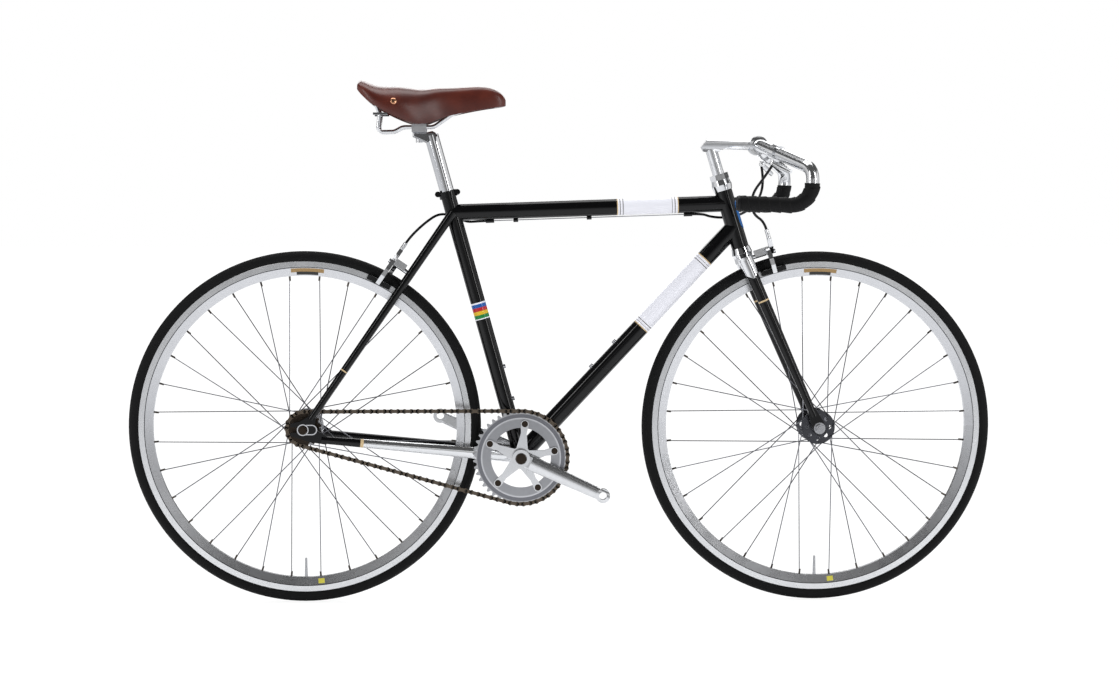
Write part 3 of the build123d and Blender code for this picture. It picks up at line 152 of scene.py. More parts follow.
# The paper is lit from behind, more so away from the object, so that it runs into the white air.
where = add(tree, "ShaderNodeTexCoord").outputs["Object"]
off = add(tree, "ShaderNodeVectorMath", {0: where, 1: spot(490, 0, 0)}, operation="DISTANCE")
glow = add(tree, "ShaderNodeMapRange", {
    "Value": off.outputs["Value"], "From Min": 1.2, "From Max": 4.0, "To Min": 0.8, "To Max": 1.0,
})
share = add(tree, "ShaderNodeMath", {0: ray.outputs["Is Camera Ray"], 1: glow.outputs[0]}, operation="MULTIPLY")
paper = add(tree, "ShaderNodeMixShader", {0: share.outputs[0], 1: shader.outputs[0], 2: lit.outputs[0]})
tree.links.new(paper.outputs[0], tree.nodes["Material Output"].inputs["Surface"])
floor_mesh = bpy.data.meshes.new("floor")
corners = [(-FLOOR_HALF, -FLOOR_HALF), (FLOOR_HALF, -FLOOR_HALF), (FLOOR_HALF, FLOOR_HALF), (-FLOOR_HALF, FLOOR_HALF)]
floor_mesh.from_pydata([(x, y, GROUND - MM) for x, y in corners], [], [(0, 1, 2, 3)])
floor_mesh.materials.append(sweep)
floor = bpy.data.objects.new("floor", floor_mesh)
scene.collection.objects.link(floor)

# Screens stand round the dark studio, so that bright metal and gloss paint have something to mirror.
# Only reflections see them.
for name, low, high, strength in (
    ("screen_behind_camera", (-2600, -6000, -300), (3400, -6000, 850), 0.35),
    ("screen_high_front", (1250, -5950, 950), (3400, -5950, 2000), 0.9),
    ("screen_high_rear", (-2600, -5950, 950), (-700, -5950, 2000), 0.7),
    ("screen_front", (5200, -3000, 600), (5200, 3000, 3200), 0.9),
    ("screen_rear", (-4400, -3000, 600), (-4400, 3000, 3200), 0.9),
    ("screen_behind_object", (-2600, 6000, 1500), (3400, 6000, 4500), 1.0),
):
    screen_white, tree, shader = finish(name + "_light")
    shader.inputs["Base Color"].default_value = linear("#000000")
    shader.inputs["Emission Color"].default_value = linear("#ffffff")
    shader.inputs["Emission Strength"].default_value = strength
    screen_white.cycles.emission_sampling = "NONE"
    (x0, y0, z0), (x1, y1, z1) = low, high
    corners = [spot(x0, y0, z0), spot(x1, y1, z0), spot(x1, y1, z1), spot(x0, y0, z1)]
    screen_mesh = bpy.data.meshes.new(name)
    screen_mesh.from_pydata(corners, [], [(0, 1, 2, 3)])
    screen_mesh.materials.append(screen_white)
    screen = bpy.data.objects.new(name, screen_mesh)
    screen.visible_camera = False
    screen.visible_diffuse = False
    screen.visible_shadow = False
    scene.collection.objects.link(screen)

# Frame tubes
# Brazed steel tubes in gloss black stove enamel under a clear coat. The top, down and seat tubes
# carry painted panels and bands, which are masked and sprayed before the clear coat.
BLACK = "#060607"
WHITE = "#e6e6ec"
GOLD = "#c8b088"
LINE = "#4a4640"


def dress(material, *nodes):
    """Give CAD nodes a material."""
    for node in nodes:
        mesh = frame["nodes"][node].data
        mesh.materials.clear()
        mesh.materials.append(material)


def enamel(name, start=None, end=None, bands=()):
    """Gloss enamel, with bands along a line: (millimetres from its start, colour up to the next band)."""
    material, tree, shader = finish(name)
    where = add(tree, "ShaderNodeTexCoord").outputs["Object"]
    shader.inputs["Base Color"].default_value = linear(BLACK)
    if bands:
        # A ramp has 256 steps, so it spans the bands alone, and thin lines keep their width.
        first = bands[0][0] - 1
        reach = bands[-1][0] + 1 - first
        along = (end - start).normalized()
        offset = add(tree, "ShaderNodeVectorMath", {0: where, 1: start}, operation="SUBTRACT")
        run = add(tree, "ShaderNodeVectorMath", {0: offset.outputs[0], 1: along}, operation="DOT_PRODUCT")
        part = add(tree, "ShaderNodeMapRange", {
            "Value": run.outputs["Value"], "From Min": first * MM, "From Max": (first + reach) * MM,
        })
        ramp = add(tree, "ShaderNodeValToRGB", {"Fac": part.outputs[0]})
        ramp.color_ramp.interpolation = "CONSTANT"
        ramp.color_ramp.elements.remove(ramp.color_ramp.elements[1])
        ramp.color_ramp.elements[0].color = linear(BLACK)
        for place, colour in bands:
            stop = ramp.color_ramp.elements.new((place - first) / reach)
            stop.color = linear(colour)
        tree.links.new(ramp.outputs["Color"], shader.inputs["Base Color"])
    haze = add(tree, "ShaderNodeTexNoise", {"Vector": where, "Scale": 1 / (40 * MM), "Detail": 4.0})
    gloss = add(tree, "ShaderNodeMapRange", {"Value": haze.outputs["Fac"], "To Min": 0.12, "To Max": 0.17})
    tree.links.new(gloss.outputs[0], shader.inputs["Roughness"])
    shader.inputs["Specular IOR Level"].default_value = 0.2
    shader.inputs["Coat Weight"].default_value = 0.2
    shader.inputs["Coat Roughness"].default_value = 0.04
    # Orange peel on sprayed enamel is about 2 mm across.
    peel = add(tree, "ShaderNodeTexNoise", {"Vector": where, "Scale": 1 / (2 * MM), "Detail": 2.0})
    bump = add(tree, "ShaderNodeBump", {"Height": peel.outputs["Fac"], "Strength": 0.02, "Distance": 0.1 * MM})
    tree.links.new(bump.outputs[0], shader.inputs["Coat Normal"])
    return material


def panel(start, end):
    """White panel between two places on the tube, with a gold line and two dark lines at each end."""
    return [
        (start - 13, GOLD), (start - 11, WHITE), (start - 7.5, LINE), (start - 6.2, WHITE), (start - 2, LINE),
        (start - 0.7, WHITE), (end, LINE), (end + 1.3, WHITE), (end + 5.5, LINE), (end + 6.8, WHITE),
        (end + 11, GOLD), (end + 13, BLACK),
    ]


black_enamel = enamel("black_enamel")
dress(
    black_enamel, "head_tube", "bottom_bracket_shell", "left_chain_stay", "left_seat_stay", "left_rear_dropout",
    "right_rear_dropout", "stay_bridges", "fork_dropouts", "seat_collar", "cable_stops",
)
seat_cluster = spot(282, 0, 745.5)
bracket = spot(411.4, 0, 280)
TOP_PANEL = (326, 418)
DOWN_PANEL = (350, 504)
dress(enamel("top_tube_enamel", seat_cluster, spot(807, 0, 763.5), panel(*TOP_PANEL)), "top_tube")
dress(enamel("down_tube_enamel", bracket, spot(821, 0, 718), panel(*DOWN_PANEL)), "down_tube")
SEAT_BANDS = [
    (272, WHITE), (274, "#1f7a3c"), (281, "#d9b22c"), (288, "#b3262b"), (295, "#2257a0"), (302, WHITE), (305, BLACK),
]
dress(enamel("seat_tube_enamel", bracket, spot(271.1, 0, 785.9), SEAT_BANDS), "seat_tube")
STAY_BANDS = [(110, GOLD), (112.5, BLACK)]
dress(enamel("seat_stay_enamel", spot(14, -63, 355), spot(282, -15, 745.5), STAY_BANDS), "right_seat_stay")
BLADE_BANDS = [(263, GOLD), (266, BLACK)]
for side, name in ((-1, "right_fork_blade"), (1, "left_fork_blade")):
    dress(enamel(name + "_enamel", spot(980, side * 53, 336), spot(840, side * 31, 655), BLADE_BANDS), name)

# Bright parts
# Chrome plate on the crown, headset, seat post and saddle wires, and hand-polished aluminium on the
# stem, bar, cranks and brakes. Polishing leaves a faint streak, and chrome a mirror.
STREAK_SHADE = 0.86


def bright(name, colour, low, high, streak):
    """Bright metal whose roughness wanders between two values, in streaks some millimetres wide."""
    material, tree, shader = finish(name)
    where = add(tree, "ShaderNodeTexCoord").outputs["Object"]
    shader.inputs["Metallic"].default_value = 1.0
    wear = add(tree, "ShaderNodeTexNoise", {"Vector": where, "Scale": 1 / (streak * MM), "Detail": 6.0})
    rough = add(tree, "ShaderNodeMapRange", {"Value": wear.outputs["Fac"], "To Min": low, "To Max": high})
    tree.links.new(rough.outputs[0], shader.inputs["Roughness"])
    tint = add(tree, "ShaderNodeValToRGB", {"Fac": wear.outputs["Fac"]})
    tint.color_ramp.elements[0].color = [c * STREAK_SHADE for c in linear(colour)[:3]] + [1]
    tint.color_ramp.elements[1].color = linear(colour)
    tree.links.new(tint.outputs["Color"], shader.inputs["Base Color"])
    return material


chrome = bright("chrome_plate", "#dfe0e2", 0.05, 0.12, 12)
polished = bright("polished_aluminium", "#e0e1e3", 0.12, 0.22, 6)
satin_grey = bright("satin_grey_aluminium", "#a4a5a8", 0.28, 0.4, 8)
steel = bright("plated_steel", "#b4b5b8", 0.18, 0.32, 5)
black_oxide = bright("oiled_black_oxide_steel", "#3a332d", 0.3, 0.5, 4)
dress(chrome, "headset_cups", "headset_races", "fork_crown", "seat_post", "saddle_rails")
dress(polished, "handlebar", "brake_levers", "front_brake_caliper", "rear_brake_caliper", "left_crank")
dress(bright("cast_clamp_alloy", "#d8d9db", 0.3, 0.42, 6), "saddle_clamp")
dress(satin_grey, "bottom_bracket_cups")
dress(steel, "front_axle", "crank_spindle", "front_valve", "rear_valve", "rear_cable_wire", "bottle_bosses")
dress(black_oxide, "rear_axle", "rear_cog", "chainring_bolts", "crank_caps")

# Stem, right crank and chainring
# Forged and polished aluminium. The stem's arm and the crank's arm are slightly crowned, which draws their highlights
# out along them. The chainring is turned and bolted to the crank's spider. Its colour runs in bands by radius, partly
# the turned finish and partly painted light: a narrow bright band is a painted highlight, and the dark band outside
# it is a painted reflection.
STEM_CROWN = 10.0
CRANK_CROWN = 14.0
ARM_HALF_W = 11 * MM
CRANK_SPAN = 20 * MM


def crowned(name, start, across, crown, along=None):
    """Polished metal whose flat face is shaded as slightly round across an arm."""
    material = bright(name, "#e0e1e3", 0.12, 0.22, 6)
    tree = material.node_tree
    where = add(tree, "ShaderNodeTexCoord").outputs["Object"]
    offset = add(tree, "ShaderNodeVectorMath", {0: where, 1: start}, operation="SUBTRACT")
    side = add(tree, "ShaderNodeVectorMath", {0: offset.outputs[0], 1: across}, operation="DOT_PRODUCT")
    held = add(tree, "ShaderNodeClamp", {"Value": side.outputs["Value"], "Min": -ARM_HALF_W, "Max": ARM_HALF_W})
    square = add(tree, "ShaderNodeMath", {0: held.outputs[0], 1: 2.0}, operation="POWER")
    height = add(tree, "ShaderNodeMath", {0: square.outputs[0], 1: -crown}, operation="MULTIPLY").outputs[0]
    if along is not None:
        run = add(tree, "ShaderNodeVectorMath", {0: offset.outputs[0], 1: along}, operation="DOT_PRODUCT")
        on_arm = add(tree, "ShaderNodeMath", {0: run.outputs["Value"], 1: CRANK_SPAN}, operation="GREATER_THAN")
        height = add(tree, "ShaderNodeMath", {0: height, 1: on_arm.outputs[0]}, operation="MULTIPLY").outputs[0]
    bump = add(tree, "ShaderNodeBump", {"Height": height, "Strength": 1.0, "Distance": 1.0})
    tree.links.new(bump.outputs[0], tree.nodes["Principled BSDF"].inputs["Normal"])
    return material


dress(crowned("polished_stem", spot(820, 0, 878), Vector((0, 0, 1)), STEM_CROWN), "stem")
pedal = next(Vector(m["pos_m"]) for m in frame["record"]["mounts"] if m["name"] == "right_pedal")
arm = ((pedal - crank_axle) * Vector((1, 0, 1))).normalized()
dress(crowned("polished_crank", crank_axle, arm.cross(Vector((0, 1, 0))), CRANK_CROWN, arm), "right_crank")

# Colour bands by radius in millimetres. They are partly the turned finish and partly painted light: the bright band
# from 74.5 mm is a painted highlight, and the dark band from 76 mm is a painted reflection.
RING_TONE_AND_GLINT_BANDS = ((0, "#a9aaae"), (73.0, "#c9cace"), (74.5, "#dedfe2"), (76.0, "#83848a"), (83.0, "#b9babd"))
RING_SPAN = 100


def round_axle(tree, axle):
    """Offset from an axle, and the radius from it."""
    where = add(tree, "ShaderNodeTexCoord").outputs["Object"]
    offset = add(tree, "ShaderNodeVectorMath", {0: where, 1: axle}, operation="SUBTRACT").outputs[0]
    flat = add(tree, "ShaderNodeVectorMath", {0: offset, 1: (1, 0, 1)}, operation="MULTIPLY")
    radius = add(tree, "ShaderNodeVectorMath", {0: flat.outputs[0]}, operation="LENGTH")
    return offset, radius.outputs["Value"]


ring_metal = bright("turned_chainring_aluminium", "#ffffff", 0.26, 0.36, 8)
tree = ring_metal.node_tree
_, radius = round_axle(tree, crank_axle)
share = add(tree, "ShaderNodeMapRange", {"Value": radius, "From Max": RING_SPAN * MM})
# This ramp paints the ring's highlight and reflection bands into its colour.
bands = add(tree, "ShaderNodeValToRGB", {"Fac": share.outputs[0]})
bands.color_ramp.interpolation = "CONSTANT"
bands.color_ramp.elements.remove(bands.color_ramp.elements[1])
bands.color_ramp.elements[0].color = linear(RING_TONE_AND_GLINT_BANDS[0][1])
for place, colour in RING_TONE_AND_GLINT_BANDS[1:]:
    bands.color_ramp.elements.new(place / RING_SPAN).color = linear(colour)
tint = next(n for n in tree.nodes if n.type == "VALTORGB")
shade = add(tree, "ShaderNodeVectorMath", {0: bands.outputs["Color"], 1: tint.outputs["Color"]}, operation="MULTIPLY")
tree.links.new(shade.outputs[0], tree.nodes["Principled BSDF"].inputs["Base Color"])
dress(ring_metal, "chainring")

# Hubs and spokes
# Bright steel spokes, laced to large drilled flanges: dark grey in front, silver behind. A hub and its
# spokes are one piece, so their metal changes at the flanges' edge.
FLANGE_EDGE_R = 34 * MM
SPOKE_STEEL = "#74757a"


def laced_hub(name, axle, hub_colour):
    """Spoke steel beyond the flanges' edge, and the hub's own finish inside it."""
    material = bright(name, SPOKE_STEEL, 0.2, 0.32, 4)
    tree = material.node_tree
    _, radius = round_axle(tree, axle)
    outside = add(tree, "ShaderNodeMath", {0: radius, 1: FLANGE_EDGE_R}, operation="GREATER_THAN")
    tint = next(n for n in tree.nodes if n.type == "VALTORGB")
    blend = add(tree, "ShaderNodeMix", {"Factor": outside.outputs[0]}, data_type="RGBA")
    blend.inputs["A"].default_value = linear(hub_colour)
    tree.links.new(tint.outputs["Color"], blend.inputs["B"])
    tree.links.new(blend.outputs["Result"], tree.nodes["Principled BSDF"].inputs["Base Color"])
    return material


dress(laced_hub("front_laced_hub", front_axle, "#4a4b4f"), "front_hub_and_spokes")
dress(laced_hub("rear_laced_hub", rear_axle, "#c2c3c6"), "rear_hub_and_spokes")

# Chain stay on the chain side
# Steel tube, plated forward of a gold line and enamelled behind it, so that the chain doesn't chip the
# paint. The plate mirrors the wheel and chain beside it.
PLATED_FROM = 80
CHAIN_STAY_BANDS = [(74, GOLD), (PLATED_FROM, "#dfe0e2")]
plated_stay = enamel("right_chain_stay_enamel", spot(34, -63, 317), spot(395, -23, 281), CHAIN_STAY_BANDS)
tree = plated_stay.node_tree
run = next(n for n in tree.nodes if n.type == "VECT_MATH" and n.operation == "DOT_PRODUCT")
plated = add(tree, "ShaderNodeMath", {0: run.outputs["Value"], 1: PLATED_FROM * MM}, operation="GREATER_THAN")
tree.links.new(plated.outputs[0], tree.nodes["Principled BSDF"].inputs["Metallic"])
dress(plated_stay, "right_chain_stay")

# Tyres
# Slick 25 mm road tyres in black rubber, round in section, with a fine file tread on the crown
# that is drawn as bump because it is under half a millimetre deep.
TYRE_HALF_W = 12.5 * MM
TYRE_BEAD_R = 316.6 * MM
TYRE_STEPS = 160
TYRE_SECTION = 18
TREAD_RIBS = 420
# Radians that a rib slants by for each metre across the tyre.
TREAD_LEAN = 40.0


def tyre_rubber(name, axle):
    """Black rubber, dull and faintly dusty, with slanting ribs."""
    material, tree, shader = finish(name)
    where = add(tree, "ShaderNodeTexCoord").outputs["Object"]
    from_axle = add(tree, "ShaderNodeVectorMath", {0: where, 1: axle}, operation="SUBTRACT")
    xyz = add(tree, "ShaderNodeSeparateXYZ", {0: from_axle.outputs[0]})
    angle = add(tree, "ShaderNodeMath", {0: xyz.outputs["Z"], 1: xyz.outputs["X"]}, operation="ARCTAN2")
    lean = add(tree, "ShaderNodeMath", {0: xyz.outputs["Y"], 1: TREAD_LEAN}, operation="MULTIPLY")
    slant = add(tree, "ShaderNodeMath", {0: angle.outputs[0], 1: lean.outputs[0]}, operation="ADD")
    ribs = add(tree, "ShaderNodeMath", {0: slant.outputs[0], 1: TREAD_RIBS}, operation="MULTIPLY")
    wave = add(tree, "ShaderNodeMath", {0: ribs.outputs[0]}, operation="SINE")
    dust = add(tree, "ShaderNodeTexNoise", {"Vector": where, "Scale": 1 / (15 * MM), "Detail": 5.0})
    shade = add(tree, "ShaderNodeValToRGB", {"Fac": dust.outputs["Fac"]})
    shade.color_ramp.elements[0].color = linear("#050506")
    shade.color_ramp.elements[1].color = linear("#0d0d0e")
    tree.links.new(shade.outputs["Color"], shader.inputs["Base Color"])
    rough = add(tree, "ShaderNodeMapRange", {"Value": dust.outputs["Fac"], "To Min": 0.6, "To Max": 0.78})
    tree.links.new(rough.outputs[0], shader.inputs["Roughness"])
    shader.inputs["Specular IOR Level"].default_value = 0.18
    bump = add(tree, "ShaderNodeBump", {"Height": wave.outputs[0], "Strength": 0.25, "Distance": 0.3 * MM})
    tree.links.new(bump.outputs[0], shader.inputs["Normal"])
    return material


def mesh_piece(name, points, faces, material, smooth=True):
    """Object from points and faces, with its normals made consistent."""
    mesh = bpy.data.meshes.new(name)
    mesh.from_pydata(points, [], faces)
    work = bmesh.new()
    work.from_mesh(mesh)
    bmesh.ops.recalc_face_normals(work, faces=work.faces)
    work.to_mesh(mesh)
    work.free()
    for face in mesh.polygons:
        face.use_smooth = smooth
    mesh.materials.append(material)
    piece = bpy.data.objects.new(name, mesh)
    scene.collection.objects.link(piece)
    return piece


def tube_faces(rings, around, closed):
    """Quads between rings of points, round and, where it is closed, back to the first ring."""
    faces = []
    for i in range(rings if closed else rings - 1):
        for j in range(around):
            a, b = i * around, ((i + 1) % rings) * around
            faces.append((a + j, a + (j + 1) % around, b + (j + 1) % around, b + j))
    return faces


def tyre_section():
    """Radius and side offset round the tyre, a circle that closes in to its beads."""
    middle = WHEEL_R - TYRE_HALF_W
    low = math.asin((TYRE_BEAD_R - middle) / TYRE_HALF_W)
    sweep_angle = math.pi - 2 * low
    angles = [low + sweep_angle * k / (TYRE_SECTION - 1) for k in range(TYRE_SECTION)]
    return [(middle + TYRE_HALF_W * math.sin(a), TYRE_HALF_W * math.cos(a)) for a in angles]


WHEELS = (("front", front_axle), ("rear", rear_axle))
for side, axle in WHEELS:
    section = tyre_section()
    points = []
    for i in range(TYRE_STEPS):
        a = 2 * math.pi * i / TYRE_STEPS
        points += [axle + Vector((r * math.cos(a), y, r * math.sin(a))) for r, y in section]
    name = side + "_tyre_rubber"
    tyre = mesh_piece(name, points, tube_faces(TYRE_STEPS, TYRE_SECTION, True), tyre_rubber(name, axle))
    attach(tyre, side + "_wheel")
    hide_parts(side + "_tyre")

# Slot edges on the right rear dropout
# Chromed steel: a bright rim on the washer under the axle nut, and a thin edge round the end of the
# slot ahead of it, which runs out under the washer.
EDGE_W = 1.9
EDGE_PROUD = 1.0
EDGE_STEPS = 24
EDGE_CORNERS = 4
WASHER_R = 11.0
WASHER_FACE_Y = -68.0
SLOT_EDGE_R = 9.8
DROPOUT_FACE_Y = -66.0
SLOT_FLAT_X = 4.0
SLOT_ROUND_X = 17.0


def washer_rim(inset):
    """Outline round the axle nut."""
    radius = WASHER_R - inset
    angles = [2 * math.pi * k / EDGE_STEPS for k in range(EDGE_STEPS)]
    return [(radius * math.cos(a), radius * math.sin(a)) for a in angles]


def slot_edge(inset):
    """Outline of the slot's end, round ahead and straight behind."""
    radius = SLOT_EDGE_R - inset
    angles = [math.pi * (k / EDGE_STEPS - 0.5) for k in range(EDGE_STEPS + 1)]
    behind = SLOT_FLAT_X + inset
    ahead = [(SLOT_ROUND_X + radius * math.cos(a), radius * math.sin(a)) for a in angles]
    return ahead + [(behind, radius), (behind, -radius)]


for name, outline, face_y in (
    ("washer_rim", washer_rim, WASHER_FACE_Y), ("slot_end_edge", slot_edge, DROPOUT_FACE_Y),
):
    points = []
    for outer, inner in zip(outline(0), outline(EDGE_W)):
        for (x, z), proud in ((outer, 0), (outer, EDGE_PROUD), (inner, EDGE_PROUD), (inner, 0)):
            points.append(rear_axle + Vector((x, face_y - proud, z)) * MM)
    faces = tube_faces(len(points) // EDGE_CORNERS, EDGE_CORNERS, True)
    edge = mesh_piece(name, points, faces, chrome, smooth=False)
    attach(edge, "frame")

# Rims
# Box-section aluminium rims, turned bright on the brake track and polished on the sloping sides, with a dark line
# where the track ends.
RIM_R = 316.2 * MM
TRACK_R = 305.7 * MM
RIM_INNER_R = 289.2 * MM
TRACK_EDGE_LINE = 0.05
# The lathe's lines are 0.1 mm apart and drawn at 0.8 mm, so that they show.
LATHE_LINES = 0.8 * MM
# Bare stickers on the sloping side: middle and half width as angles from the top, then the radii.
STICKERS = (
    (0.02, 0.105, 296.0, 303.5, "#96784a"),
    (0.02, 0.07, 291.0, 297.0, "#1a1712"),
    (math.pi - 0.1, 0.02, 293.0, 302.0, "#c9c04a"),
)


def rim_metal(name, axle):
    """Turned and polished aluminium with a dark line where the track ends, and bare stickers, which are no metal."""
    material, tree, shader = finish(name)
    where = add(tree, "ShaderNodeTexCoord").outputs["Object"]
    offset, radius = round_axle(tree, axle)
    height = add(tree, "ShaderNodeMapRange", {"Value": radius, "From Min": RIM_INNER_R, "From Max": RIM_R})
    band = add(tree, "ShaderNodeValToRGB", {"Fac": height.outputs[0]})
    band.color_ramp.interpolation = "CONSTANT"
    track = (TRACK_R - RIM_INNER_R) / (RIM_R - RIM_INNER_R)
    band.color_ramp.elements[0].color = linear("#cdced1")
    band.color_ramp.elements[1].position = track
    band.color_ramp.elements[1].color = linear("#e0e1e3")
    # A narrow band of dark colour where the track ends.
    line = band.color_ramp.elements.new(track - TRACK_EDGE_LINE)
    line.color = linear("#3c3d40")
    xyz = add(tree, "ShaderNodeSeparateXYZ", {0: offset})
    angle = add(tree, "ShaderNodeMath", {0: xyz.outputs["X"], 1: xyz.outputs["Z"]}, operation="ARCTAN2")
    colour = band.outputs["Color"]
    bare = None
    for middle, half, low, high, paint in STICKERS:
        wide = add(tree, "ShaderNodeMath", {0: angle.outputs[0], 1: middle, 2: half}, operation="COMPARE")
        deep = add(
            tree, "ShaderNodeMath", {0: radius, 1: (low + high) / 2 * MM, 2: (high - low) / 2 * MM},
            operation="COMPARE",
        )
        stuck = add(tree, "ShaderNodeMath", {0: wide.outputs[0], 1: deep.outputs[0]}, operation="MULTIPLY")
        layer = add(tree, "ShaderNodeMix", {"Factor": stuck.outputs[0]}, data_type="RGBA")
        tree.links.new(colour, layer.inputs["A"])
        layer.inputs["B"].default_value = linear(paint)
        colour = layer.outputs["Result"]
        free = add(tree, "ShaderNodeMath", {0: 1.0, 1: stuck.outputs[0]}, operation="SUBTRACT")
        if bare is None:
            bare = free.outputs[0]
        else:
            bare = add(tree, "ShaderNodeMath", {0: bare, 1: free.outputs[0]}, operation="MULTIPLY").outputs[0]
    tree.links.new(colour, shader.inputs["Base Color"])
    tree.links.new(bare, shader.inputs["Metallic"])
    turning = add(tree, "ShaderNodeMath", {0: radius, 1: 2 * math.pi / LATHE_LINES}, operation="MULTIPLY")
    groove = add(tree, "ShaderNodeMath", {0: turning.outputs[0]}, operation="SINE")
    bump = add(tree, "ShaderNodeBump", {"Height": groove.outputs[0], "Strength": 0.03, "Distance": 0.05 * MM})
    tree.links.new(bump.outputs[0], shader.inputs["Normal"])
    grain = add(tree, "ShaderNodeTexNoise", {"Vector": where, "Scale": 1 / (30 * MM), "Detail": 4.0})
    rough = add(tree, "ShaderNodeMapRange", {"Value": grain.outputs["Fac"], "To Min": 0.2, "To Max": 0.34})
    tree.links.new(rough.outputs[0], shader.inputs["Roughness"])
    return material


for side, axle in WHEELS:
    dress(rim_metal(side + "_rim_aluminium", axle), side + "_rim")

# Spoke nipples
# Dark plated brass nipples where each of the 32 spokes enters the rim, slightly off centre towards
# the flange that the spoke comes from.
SPOKES = 32
NIPPLE_R = 1.9 * MM
NIPPLE_LEN = 9 * MM
NIPPLE_Y = 2.5 * MM


def repeat_tree(name, sockets):
    """Empty Geometry Nodes tree with its named inputs, and the ids that set them."""
    tree = bpy.data.node_groups.new(name, "GeometryNodeTree")
    tree.interface.new_socket("Geometry", in_out="INPUT", socket_type="NodeSocketGeometry")
    ids = {}
    for socket, kind in sockets:
        ids[socket] = tree.interface.new_socket(socket, in_out="INPUT", socket_type=kind).identifier
    tree.interface.new_socket("Geometry", in_out="OUTPUT", socket_type="NodeSocketGeometry")
    return tree, add(tree, "NodeGroupInput"), ids


def close_tree(tree, geometry, material):
    """End a tree in real faces with their material."""
    real = add(tree, "GeometryNodeRealizeInstances", {0: geometry})
    made = add(tree, "GeometryNodeSetMaterial", {"Geometry": real.outputs[0], "Material": material})
    add(tree, "NodeGroupOutput", {0: made.outputs[0]})


def grown(name, points, aims, tree, ids, values):
    """Mesh that a tree grows on points, each with its own direction."""
    seeds = bpy.data.meshes.new(name + "_seeds")
    seeds.from_pydata(points, [], [])
    along = seeds.attributes.new("along", "FLOAT_VECTOR", "POINT")
    for k, aim in enumerate(aims):
        along.data[k].vector = aim
    holder = bpy.data.objects.new(name + "_seeds", seeds)
    scene.collection.objects.link(holder)
    modifier = holder.modifiers.new("grow", "NODES")
    modifier.node_group = tree
    for socket, value in values.items():
        modifier[ids[socket]] = value
    bpy.context.view_layer.update()
    shown = holder.evaluated_get(bpy.context.evaluated_depsgraph_get())
    mesh = bpy.data.meshes.new_from_object(shown)
    mesh.name = name
    holder.modifiers.clear()
    bpy.data.objects.remove(holder)
    piece = bpy.data.objects.new(name, mesh)
    scene.collection.objects.link(piece)
    return piece


nipple_tree, given, nipple_ids = repeat_tree(
    "spoke_nipples", (("Radius", "NodeSocketFloat"), ("Length", "NodeSocketFloat")),
)
stub = add(
    nipple_tree, "GeometryNodeMeshCylinder",
    {"Vertices": 8, "Radius": given.outputs["Radius"], "Depth": given.outputs["Length"]},
)
aim = add(nipple_tree, "GeometryNodeInputNamedAttribute", {"Name": "along"}, data_type="FLOAT_VECTOR")
lie = add(nipple_tree, "FunctionNodeAlignRotationToVector", {"Vector": aim.outputs[0]}, axis="Z")
nipples = add(
    nipple_tree, "GeometryNodeInstanceOnPoints",
    {"Points": given.outputs["Geometry"], "Instance": stub.outputs["Mesh"], "Rotation": lie.outputs[0]},
)
nipple_brass = bright("dark_plated_brass", "#4a4540", 0.25, 0.4, 3)
close_tree(nipple_tree, nipples.outputs[0], nipple_brass)
nipple_size = {"Radius": NIPPLE_R, "Length": NIPPLE_LEN}
for side, axle in WHEELS:
    points, aims = [], []
    for k in range(SPOKES):
        a = math.pi / 2 + (k + 0.5) * 2 * math.pi / SPOKES
        outward = Vector((math.cos(a), 0, math.sin(a)))
        lean = Vector((0, NIPPLE_Y * (-1 if k % 2 == 0 else 1), 0))
        points.append(axle + outward * (RIM_INNER_R - NIPPLE_LEN / 2) + lean)
        aims.append(outward)
    piece = grown(side + "_spoke_nipples", points, aims, nipple_tree, nipple_ids, nipple_size)
    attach(piece, side + "_wheel")

# Chain
# Half-inch bush chain of 96 links in oiled dark steel: pairs of pressed side plates, narrow pairs
# inside wide pairs, on pins with rollers. Wide and narrow links take turns round the loop.
PITCH = 12.7 * MM
RING_TEETH = 44
COG_TEETH = 16
LINKS = 96
CHAIN_Y = -42.5 * MM
PLATE_R = 4.5 * MM
WAIST = 6.4 * MM
PLATE_T = 1.0 * MM
WIDE_GAP = 5.6 * MM
NARROW_GAP = 3.4 * MM
PIN_R = 1.9 * MM
PIN_LEN = 7.8 * MM

link_tree, given, link_ids = repeat_tree("chain_links", (
    ("Pitch", "NodeSocketFloat"), ("Plate radius", "NodeSocketFloat"), ("Waist", "NodeSocketFloat"),
    ("Plate thickness", "NodeSocketFloat"), ("Gap", "NodeSocketFloat"),
))
half_pitch = add(link_tree, "ShaderNodeMath", {0: given.outputs["Pitch"], 1: 0.5}, operation="MULTIPLY")
end = add(
    link_tree, "GeometryNodeMeshCylinder",
    {"Vertices": 10, "Radius": given.outputs["Plate radius"], "Depth": given.outputs["Plate thickness"]},
)
across = (math.pi / 2, 0, 0)
waist_size = add(link_tree, "ShaderNodeCombineXYZ", {
    "X": given.outputs["Pitch"], "Y": given.outputs["Plate thickness"], "Z": given.outputs["Waist"],
})
waist = add(link_tree, "GeometryNodeMeshCube", {"Size": waist_size.outputs[0]})
plate = add(link_tree, "GeometryNodeJoinGeometry")
for way in (-1, 1):
    reach = add(link_tree, "ShaderNodeMath", {0: half_pitch.outputs[0], 1: way}, operation="MULTIPLY")
    shift = add(link_tree, "ShaderNodeCombineXYZ", {"X": reach.outputs[0]})
    moved = add(link_tree, "GeometryNodeTransform", {
        0: end.outputs["Mesh"], "Translation": shift.outputs[0], "Rotation": across,
    })
    link_tree.links.new(moved.outputs[0], plate.inputs[0])
link_tree.links.new(waist.outputs["Mesh"], plate.inputs[0])
pair = add(link_tree, "GeometryNodeJoinGeometry")
half_gap = add(link_tree, "ShaderNodeMath", {0: given.outputs["Gap"], 1: 0.5}, operation="MULTIPLY")
